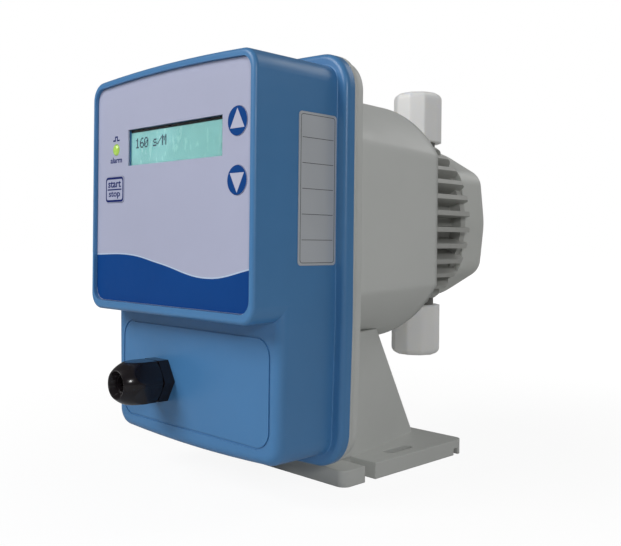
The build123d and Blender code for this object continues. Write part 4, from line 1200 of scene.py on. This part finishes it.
@dataclass
class KeypadPrint:
    """What is printed on the membrane and the keys.

    Attributes:
        corner: radius of the membrane's lower corners.
        wave: the navy band's upper edge, as shares of the membrane's width and millimetres of height.
        margin: bare edge round the band.
        edge_line: height of the pale line over the band.
        frame_line: width of the start key's outline at its sides.
        frame_bar: width of that outline at its top and bottom.
        words: for each word on the start key, how far above the key's middle it stands, its height
            and its width.
        icon_rise: how far the pulse sign stands above the lamp.
        icon: the sign's step along, its line's width and its pulse's height.
        alarm_drop: how far the word stands below the lamp.
        lens_sink: how far the lens's dome starts behind the membrane's face.
        lens_rise: how far its tip stands out of the face.
        lens_steps: fine steps of the dome.
    """

    corner: float = 5.5 * MM
    wave: tuple[Point, ...] = ((0.0, 20.1), (0.26, 20.3), (0.46, 17.1), (0.76, 12.2), (1.0, 16.5))
    margin: float = 0.1 * MM
    edge_line: float = 0.55 * MM
    frame_line: float = 0.7 * MM
    frame_bar: float = 0.95 * MM
    words: tuple[tuple[str, float, float, float], ...] = (
        ("start", 2.35 * MM, 2.9 * MM, 10.4 * MM),
        ("stop", -2.4 * MM, 3.3 * MM, 9.2 * MM),
    )
    icon_rise: float = 4.9 * MM
    icon: Triple = (1.15 * MM, 0.65 * MM, 1.6 * MM)
    alarm_drop: float = 4.5 * MM
    lens_sink: float = 0.1 * MM
    lens_rise: float = 0.9 * MM
    lens_steps: int = 8

    def band(self, palette: Palette) -> None:
        """The navy band with its wavy upper edge, and the pale line along that edge."""
        low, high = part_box("keypad_membrane")
        left, right, bottom = low.x + self.margin, high.x - self.margin, low.z + self.margin
        upper = [(left + (right - left) * share, low.z + rise * MM) for share, rise in self.wave]
        inner = range(1, len(upper) - 1)
        corners = corner_arc((right - self.corner, bottom + self.corner), self.corner, 0, -1)
        corners += corner_arc((left + self.corner, bottom + self.corner), self.corner, 270, -1)
        sheet = FlatPrint(low.y).outline([*upper, *corners], inner)
        palette.seat("membrane_band", sheet.mesh(), Ink.NAVY)
        raised = [(x, z + self.edge_line) for x, z in reversed(upper)]
        line = FlatPrint(low.y).outline([*upper, *raised], [*inner, *(len(upper) + i for i in inner)])
        palette.seat("membrane_band_edge", line.mesh(), Ink.PALE)

    def arrow(self, key: str, way: int, palette: Palette) -> None:
        """The navy disc and pale triangle of an arrow key.

        Args:
            key: the key's node, which is also its body.
            way: 1 where the triangle points up, or -1.
            palette: the finishes.
        """
        low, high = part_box(key)
        x, _, z = middle_of(key)
        radius = (high.x - low.x) / 2 - 0.02 * MM
        palette.seat(f"{key}_disc", FlatPrint(low.y).disc(x, z, radius).mesh(), Ink.NAVY, key)
        apex, base, half = z + way * radius * 0.86, z - way * radius * 0.48, radius * 0.74
        arrow = FlatPrint(low.y - PRINT_THICKNESS).outline([(x - half, base), (x + half, base), (x, apex)])
        palette.seat(f"{key}_arrow", arrow.mesh(), Ink.LILAC, key)

    def start_key(self, palette: Palette) -> None:
        """The outlined key with its two words and the line between them."""
        key = "start_stop_key"
        low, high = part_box(key)
        x, _, z = middle_of(key)
        width, height = high.x - low.x - 0.4 * MM, high.z - low.z - 0.4 * MM
        outline = FlatPrint(low.y).rounded((x, z), width, height, 1.6 * MM)
        outline.rounded((x, z), width - 2 * self.frame_line, height - 2 * self.frame_bar, 1.0 * MM)
        outline.rounded((x, z), width * 0.8, 0.6 * MM, 0.1 * MM)
        palette.seat("start_key_frame", outline.mesh(), Ink.DEEP, key)
        for word, rise, tall, wide in self.words:
            letters = lettering(word, (x, z + rise), tall, wide, low.y)
            palette.seat(f"start_key_{word}", letters, Ink.DEEP, key)

    def lens(self, surface: float, palette: Palette) -> None:
        """The lamp's domed lens, with fine concentric steps.

        Args:
            surface: Y of the membrane's face.
            palette: the finishes.
        """
        low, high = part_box("status_lamp")
        x, _, z = middle_of("status_lamp")
        radius = (high.x - low.x) / 2
        shoulder, tip = high.y - surface - self.lens_sink, high.y - surface + self.lens_rise
        rings = [Ring(0, 0), Ring(0, radius), Ring(shoulder, radius)]
        for turn in (math.pi / 2 * i / self.lens_steps for i in range(1, self.lens_steps)):
            rings.append(Ring(shoulder + (tip - shoulder) * math.sin(turn), radius * math.cos(turn)))
        mesh = turned([*rings, Ring(tip, 0)], 48, FRONT, Vector((x, high.y, z)))
        palette.seat("lamp_lens_detailed", mesh, Slot.LAMP_LENS, "base", "status_lamp")

    def lamp_marks(self, palette: Palette) -> None:
        """The lamp's lens, the pulse sign above it and the word below it."""
        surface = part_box("keypad_membrane")[0].y
        self.lens(surface, palette)
        x, _, z = middle_of("status_lamp")
        step, thick, rise = self.icon
        base = z + self.icon_rise - rise / 2
        path = [(-2.3, 0), (-1, 0), (-1, 1), (1, 1), (1, 0), (2.3, 0)]
        outer = [(x + px * step, base + pz * rise + thick / 2) for px, pz in path]
        inner = [
            (x + px * (step if abs(px) > 2 else step - thick), base + pz * rise - thick / 2)
            for px, pz in reversed(path)
        ]
        palette.seat("pulse_sign", FlatPrint(surface).outline([*outer, *inner]).mesh(), Ink.DEEP)
        word = lettering("alarm", (x, z - self.alarm_drop), 2.6 * MM, 9.4 * MM, surface)
        palette.seat("alarm_word", word, Ink.DEEP)

    def build(self, palette: Palette) -> None:
        """Print everything."""
        self.band(palette)
        self.arrow("up_key", 1, palette)
        self.arrow("down_key", -1, palette)
        self.start_key(palette)
        self.lamp_marks(palette)


DOT_LETTERS = {
    "1": ("..X..", ".XX..", "..X..", "..X..", "..X..", "..X..", ".XXX."),
    "6": ("..XX.", ".X...", "X....", "XXXX.", "X...X", "X...X", ".XXX."),
    "0": (".XXX.", "X...X", "X..XX", "X.X.X", "XX..X", "X...X", ".XXX."),
    "s": (".....", ".....", ".XXX.", "X....", ".XXX.", "....X", "XXXX."),
    "/": (".....", "....X", "...X.", "..X..", ".X...", "X....", "....."),
    "M": ("X...X", "XX.XX", "X.X.X", "X.X.X", "X...X", "X...X", "X...X"),
}


@dataclass
class Display:
    """The display's dots and a painted band of the bezel's shade along the top of its glass.

    Attributes:
        reading: the strokes each minute, as shown.
        pitch: distance from one character to the next.
        dot: width of one dot.
        dot_height: height of one dot.
        bold: how much wider and taller than its place a dot is drawn.
        side_margin: how far the reading starts from the glass's left edge.
        first_row: how far the upper dots lie under the glass's upper edge.
        shade_band_height: height of the painted shade band.
    """

    reading: str = "160 s/M"
    pitch: float = 3.3 * MM
    dot: float = 0.6 * MM
    dot_height: float = 0.62 * MM
    bold: Point = (1.18, 1.05)
    side_margin: float = 3.7 * MM
    first_row: float = 4.1 * MM
    shade_band_height: float = 1.3 * MM

    def build(self, palette: Palette) -> None:
        """A painted dark band where the bezel shades the glass, and the reading as raised dots."""
        low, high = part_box("lcd_glass")
        # Painted shade: a near-black band at the glass's top, where the bezel's shadow falls.
        middle = ((low.x + high.x) / 2, high.z - self.shade_band_height / 2)
        band = FlatPrint(low.y).rounded(middle, high.x - low.x, self.shade_band_height, 0.05 * MM)
        palette.seat("display_mask", band.mesh(), Ink.BEZEL_SHADE)
        places = []
        for number, letter in enumerate(self.reading):
            left = low.x + self.side_margin + number * self.pitch
            for row, pattern in enumerate(DOT_LETTERS.get(letter, ())):
                z = high.z - self.first_row - row * self.dot_height
                marks = [i for i, mark in enumerate(pattern) if mark == "X"]
                places += [Vector((left + i * self.dot, low.y, z)) for i in marks]
        block = (self.dot * self.bold[0], PRINT_THICKNESS * 2, self.dot_height * self.bold[1])
        mesh = BlockRepeater().run(places, Size=block, Least=1.0, Seed=1, Material=palette.of(Ink.SEGMENT))
        palette.seat("display_dots", mesh, Ink.SEGMENT)


@dataclass
class Gland:
    """The cable gland's domed nut, slit fingers and seal.

    Attributes:
        across_flats: the nut's width.
        nose: radius of its nose.
        mouth: radius of its opening.
        cable: radius of the cable's passage.
        seal_radius: radius of the seal.
        bore: radius of the nut's thread.
        bore_depth: depth of that bore.
        dome_start: share of the length where the dome starts.
        dome_steps: rings of the dome.
        fingers: places along the clamping fingers' inside, and their shares of the mouth's radius.
        finger_sink: how far they start inside the mouth.
        sides: points round the nut and the fingers.
        seal_sides: points round the seal.
    """

    across_flats: float = 17.8 * MM
    nose: float = 6.2 * MM
    mouth: float = 4.4 * MM
    cable: float = 3.6 * MM
    seal_radius: float = 5.6 * MM
    bore: float = 7.35 * MM
    bore_depth: float = 10.3 * MM
    dome_start: float = 0.34
    dome_steps: int = 28
    fingers: tuple[Point, ...] = ((0, 0.8), (1.6 * MM, 0.74), (4.2 * MM, 0.8))
    finger_sink: float = 3.2 * MM
    sides: int = 120
    seal_sides: int = 72

    def dome(self, length: float) -> list[Ring]:
        """The rings of the nut's outside, where a dome cuts the hexagon's corners.

        Args:
            length: the nut's length.

        Returns:
            Rings from the hexagon's root to the nose.
        """
        half = self.across_flats / 2
        corner = half / math.cos(math.pi / 6)
        start = self.dome_start * length
        depth = (length - start) / math.sqrt(1 - (self.nose / corner) ** 2)
        rings = [Ring(0.7 * MM, half, Section.HEXAGON, limit=corner * 0.995)]
        for i in range(self.dome_steps + 1):
            along = start + (length - start) * i / self.dome_steps
            limit = corner * math.sqrt(1 - ((along - start) / depth) ** 2)
            rings.append(Ring(along, min(half, limit), Section.HEXAGON, limit=limit))
        return rings

    def nut(self, length: float) -> list[Ring]:
        """The domed nut, hexagonal at its root and round at its nose, with its bore.

        Args:
            length: the nut's length.

        Returns:
            Its rings, round the wall.
        """
        return [
            Ring(0, self.bore),
            Ring(0, self.across_flats / 2 - 0.6 * MM),
            Ring(0.1 * MM, self.across_flats / 2, Section.HEXAGON, limit=9.1 * MM),
            *self.dome(length),
            Ring(length - 0.2 * MM, self.nose - 0.6 * MM),
            Ring(length - 2.6 * MM, self.mouth + 0.1 * MM),
            Ring(length - 3.0 * MM, self.mouth),
            Ring(self.bore_depth + 1.7 * MM, self.mouth),
            Ring(self.bore_depth, self.bore),
        ]

    def clamp(self) -> list[Ring]:
        """The rings of the slit clamping fingers, seen inside the nut's mouth.

        Returns:
            The rings, round the wall.
        """
        outer = self.mouth - 0.05 * MM
        inner = [Ring(along, self.mouth * share, Section.SLIT) for along, share in self.fingers]
        return [Ring(0, outer), *inner, Ring(self.fingers[-1][0], outer)]

    def seal(self, length: float) -> list[Ring]:
        """The seal with its moulded lip.

        Args:
            length: the seal's length.

        Returns:
            Its rings, round the wall.
        """
        return [
            Ring(0, self.cable),
            Ring(0, self.seal_radius),
            Ring(length - 0.5 * MM, self.seal_radius),
            Ring(length, self.seal_radius - 0.5 * MM),
            Ring(length, self.cable * 1.18, Section.FLUTED),
            Ring(length - 0.8 * MM, self.cable * 1.04, Section.FLUTED),
            Ring(length - 1.6 * MM, self.cable),
        ]

    def build(self, palette: Palette) -> None:
        """Make the nut, the fingers and the seal."""
        low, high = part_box("gland_dome_nut")
        x, _, z = middle_of("gland_dome_nut")
        nut = turned(self.nut(high.y - low.y), self.sides, FRONT, Vector((x, high.y, z)), loop=True)
        palette.seat("gland_nut_detailed", nut, Slot.GLAND_NYLON, "base", "gland_dome_nut")
        inside = Vector((x, low.y + self.finger_sink, z))
        clamp = turned(self.clamp(), self.sides, REAR, inside, loop=True)
        palette.seat("gland_fingers", clamp, Slot.GLAND_NYLON)
        low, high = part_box("gland_seal")
        x, _, z = middle_of("gland_seal")
        seal = turned(self.seal(high.y - low.y), self.seal_sides, FRONT, Vector((x, high.y, z)), loop=True)
        palette.seat("gland_seal_detailed", seal, Slot.SEAL_RUBBER, "base", "gland_seal")


@dataclass
class SideLabel:
    """The plain silver label's printed border and ruled lines, without words."""

    border: float = 0.9 * MM
    line: float = 0.22 * MM
    rows: int = 5

    def build(self, palette: Palette) -> None:
        """Print the border and the rules on the label's face."""
        low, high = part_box("rating_label")
        _, y, z = middle_of("rating_label")
        width, height = high.y - low.y, high.z - low.z
        rules = FlatPrint(0)
        for inset, radius in ((self.border, 1.2 * MM), (self.border + self.line, 1.0 * MM)):
            rules.rounded((y, z), width - 2 * inset, height - 2 * inset, radius)
        for row in range(1, self.rows + 1):
            place = (y, low.z + height * row / (self.rows + 1))
            rules.rounded(place, width - 4 * self.border, self.line, self.line / 3)
        mesh = rules.mesh()
        side = Matrix(((0, 0, 1, high.x + PRINT_THICKNESS / 2), (1, 0, 0, 0), (0, 1, 0, 0), (0, 0, 0, 1)))
        mesh.transform(side @ print_plane(0).inverted())
        palette.seat("label_rules", mesh, Ink.RULE)


@dataclass
class Solenoid:
    """The coil's wire turns, wound over the plain winding, and the spring that returns the plunger.

    Attributes:
        wire: radius of the coil's wire.
        spring_wire: radius of the spring's wire.
        active_turns: turns of the spring that are free to close up.
        steps: points along each turn of the spring.
        sides: points round its wire.
    """

    wire: float = 0.45 * MM
    spring_wire: float = 0.68 * MM
    active_turns: float = 3.0
    steps: int = 40
    sides: int = 12

    def winding(self, palette: Palette) -> None:
        """Wind the outer layer of turns."""
        low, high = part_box("coil_winding")
        x, y, z = middle_of("coil_winding")
        count = math.floor((high.y - low.y) / (2 * self.wire))
        start = y - (count - 1) * self.wire
        sites = [Vector((x, start + 2 * self.wire * i, z)) for i in range(count)]
        sizes = {"Radius": (high.x - low.x) / 2 - self.wire, "Wire": self.wire}
        mesh = CoilRepeater().run(sites, **sizes, Material=palette.of(Slot.COPPER_WIRE))
        palette.seat("coil_turns", mesh, Slot.COPPER_WIRE)

    def rise(self, turn: float, length: float) -> float:
        """How far along the spring a turn has come, with one closed turn at each end.

        Args:
            turn: turns from the first end.
            length: distance between the wire's centres at the two ends.

        Returns:
            The distance from the first end.
        """
        closed = 2.04 * self.spring_wire
        if turn < 1:
            return closed * turn
        if turn > 1 + self.active_turns:
            return length - closed * (2 + self.active_turns - turn)
        return closed + (length - 2 * closed) * (turn - 1) / self.active_turns

    def spring(self, palette: Palette) -> None:
        """The return spring, coiled from the plunger to the bush, with one closed turn at each end."""
        low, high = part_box("return_spring")
        x, _, z = middle_of("return_spring")
        wire = self.spring_wire
        radius, length = (high.x - low.x) / 2 - wire, high.y - low.y - 2 * wire
        shape = bmesh.new()
        rows = []
        for i in range(round((2 + self.active_turns) * self.steps) + 1):
            turn = i / self.steps
            spoke = Vector((math.cos(math.tau * turn), 0, math.sin(math.tau * turn)))
            centre = Vector((x, low.y + wire + self.rise(turn, length), z)) + radius * spoke
            angles = [math.tau * j / self.sides for j in range(self.sides)]
            loop = [centre + wire * (math.cos(a) * spoke + math.sin(a) * REAR) for a in angles]
            rows.append([shape.verts.new(place) for place in loop])
        for end in (rows[0], rows[-1]):
            shape.faces.new(end)
        skinned(shape, rows)
        piece = palette.dress("return_spring_coiled", as_mesh(shape), Slot.STEEL)
        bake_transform(piece)
        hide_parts("return_spring")

    def build(self, palette: Palette) -> None:
        """Make the winding and the spring."""
        self.winding(palette)
        self.spring(palette)


@dataclass
class BoardParts:
    """Small soldered parts on the rear of the control board.

    Attributes:
        columns: parts in a row.
        rows: rows of parts.
        part: a part's width, depth and height.
        area: left, right, low and high ends of the places that they take.
    """

    columns: int = 9
    rows: int = 4
    part: Triple = (3.6 * MM, 1.1 * MM, 2.2 * MM)
    area: tuple[float, float, float, float] = (-34 * MM, 34 * MM, 126 * MM, 152 * MM)

    def build(self, palette: Palette) -> None:
        """Set the parts and their solder ends in rows."""
        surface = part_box("control_board")[1].y
        left, right, low, high = self.area
        wide, deep, tall = self.part
        sites, ends = [], []
        for column in range(self.columns):
            for row in range(self.rows):
                x = left + (right - left) * column / (self.columns - 1)
                z = low + (high - low) * row / (self.rows - 1)
                sites.append(Vector((x, surface + deep / 2, z)))
                ends += [Vector((x + side * wide / 2, surface + deep * 0.3, z)) for side in (-1, 1)]
        repeater = BlockRepeater()
        for name, places, size, least, seed, choice in (
            ("board_chips", sites, self.part, 0.55, 7, Slot.MODULE_BLACK),
            ("board_solder", ends, (0.7 * MM, deep * 0.6, tall * 0.8), 0.9, 8, Ink.SOLDER),
        ):
            mesh = repeater.run(places, Size=size, Least=least, Seed=seed, Material=palette.of(choice))
            palette.seat(name, mesh, choice)


class CadFinishes:
    """Gives every CAD node the finish of its slot, and the foot a crisper one."""

    def build(self, palette: Palette) -> None:
        """Assign the materials to the nodes' slots."""
        finishes = {slot.value.name: slot for slot in Slot}
        for part in frame["record"]["subparts"]:
            materials = frame["nodes"][part["node"]].data.materials
            choice = Ink.FOOT if part["node"] == "mounting_foot" else finishes[part["material_slot"]]
            materials.clear()
            materials.append(palette.of(choice))
            LOG.info("%s: %s", part["node"], part["material_slot"])


@dataclass
class Studio:
    """The floor, the white surroundings, the lamps and the camera.

    Attributes:
        camera_at: the camera's place.
        camera_heading: the way that it looks, in degrees from +Y.
        camera_roll: its roll, in degrees.
        lens: its focal length in millimetres.
        horizon_offset: how far the picture is shifted down, as a share of its width.
        ambient: strength of the surroundings where they light the pump.
        lamps: each lamp's name, place, side and watts.
        aim: what the lamps point at.
        floor_colours: the two tones of the floor.
        floor_half: half the floor's width.
        floor_level: its height.
        fade: where the floor starts and ends turning white, and how white it starts.
        floor_white: strength of the floor's own white.
    """

    camera_at: Triple = (0.275, -0.2951, 0.103)
    camera_heading: float = 45.07
    camera_roll: float = 0.6
    lens: float = 46.75
    horizon_offset: float = 30.5 / 621
    ambient: float = 0.12
    lamps: tuple[tuple[str, Vector, float, float], ...] = (
        ("key_lamp", Vector((-0.35, -0.95, 0.75)), 0.6, 8.3),
        ("rim_lamp", Vector((0.4, 1.0, 0.9)), 0.8, 4.4),
        ("near_lamp", Vector((0.95, -0.67, 0.42)), 0.14, 2.8),
    )
    aim: Triple = (0, 0, 0.1)
    floor_colours: tuple[str, str] = ("CFCFCD", "D6D6D6")
    floor_half: float = 6.0
    floor_level: float = -0.02 * MM
    fade: Triple = (0.12, 0.75, 0.84)
    floor_white: float = 1.09

    def world(self) -> None:
        """White where it is seen straight or through glass, dim where it lights."""
        world = bpy.data.worlds.new("surroundings")
        bpy.context.scene.world = world
        graph = cleared(world)
        rays = graph.add("ShaderNodeLightPath").outputs
        seen = graph.maths("MAXIMUM", rays["Is Camera Ray"], rays["Is Transmission Ray"])
        dim, white = (
            graph.add("ShaderNodeBackground", {"Color": linear(WHITE), "Strength": strength})
            for strength in (self.ambient, 1.0)
        )
        graph.add("ShaderNodeOutputWorld", {0: graph.blend(seen, dim, white)})

    def floor(self) -> None:
        """A pale plain floor that keeps the pump's shadow."""
        mesh = bpy.data.meshes.new("floor")
        far = self.floor_half
        mesh.from_pydata([(x * far, y * far, self.floor_level) for x, y in CORNERS], [], [(0, 1, 2, 3)])
        material = bpy.data.materials.new("pale_floor")
        graph = cleared(material)
        vector = graph.add("ShaderNodeTexCoord").outputs["Object"]
        patches = graph.span(graph.noise(vector, 3.0), *NOISE_SPAN, 0.0, 1.0)
        first, second = (linear(code) for code in self.floor_colours)
        matte = graph.add("ShaderNodeBsdfDiffuse", {"Color": graph.mix(patches, first, second)})
        glow = graph.add("ShaderNodeEmission", {"Color": linear(WHITE), "Strength": self.floor_white})
        start, end, least = self.fade
        reach = graph.vectors("LENGTH", vector).outputs["Value"]
        seen = graph.add("ShaderNodeLightPath").outputs["Is Camera Ray"]
        share = graph.maths("MULTIPLY", seen, graph.span(reach, start, end, least, 1.0))
        graph.add("ShaderNodeOutputMaterial", {0: graph.blend(share, matte, glow)})
        mesh.materials.append(material)
        shown("floor", mesh)

    def light(self) -> None:
        """Add the square area lamps."""
        for name, place, size, power in self.lamps:
            lamp = bpy.data.lights.new(name, "AREA")
            lamp.size = size
            lamp.energy = power
            shown(name, lamp).matrix_world = towards(place - Vector(self.aim), place)

    def camera(self) -> None:
        """The camera, level and turned to see the display and the pump's right side."""
        data = bpy.data.cameras.new("camera")
        data.lens = self.lens
        data.sensor_width = 36.0
        data.shift_y = -self.horizon_offset
        data.clip_start, data.clip_end = 0.01, 50.0
        holder = shown("camera", data)
        turns = ((self.camera_heading, "Z"), (90, "X"), (self.camera_roll, "Z"))
        heading, upright, roll = (Matrix.Rotation(math.radians(turn), 4, axis) for turn, axis in turns)
        holder.matrix_world = Matrix.Translation(self.camera_at) @ heading @ upright @ roll
        bpy.context.scene.camera = holder

    def build(self) -> None:
        """Set up the whole studio."""
        bpy.context.scene.view_settings.view_transform = "Standard"
        self.world()
        self.floor()
        self.light()
        self.camera()


def main() -> None:
    """Dress the pump and light it."""
    logging.basicConfig(level=logging.INFO, format="%(name)s %(message)s")
    palette = Palette(Effects())
    for assembly in (
        CadFinishes(),
        KeypadPrint(),
        Display(),
        Gland(),
        SideLabel(),
        Fasteners(),
        Solenoid(),
        BoardParts(),
    ):
        assembly.build(palette)
    Studio().build()


if __name__ == "__main__":
    main()
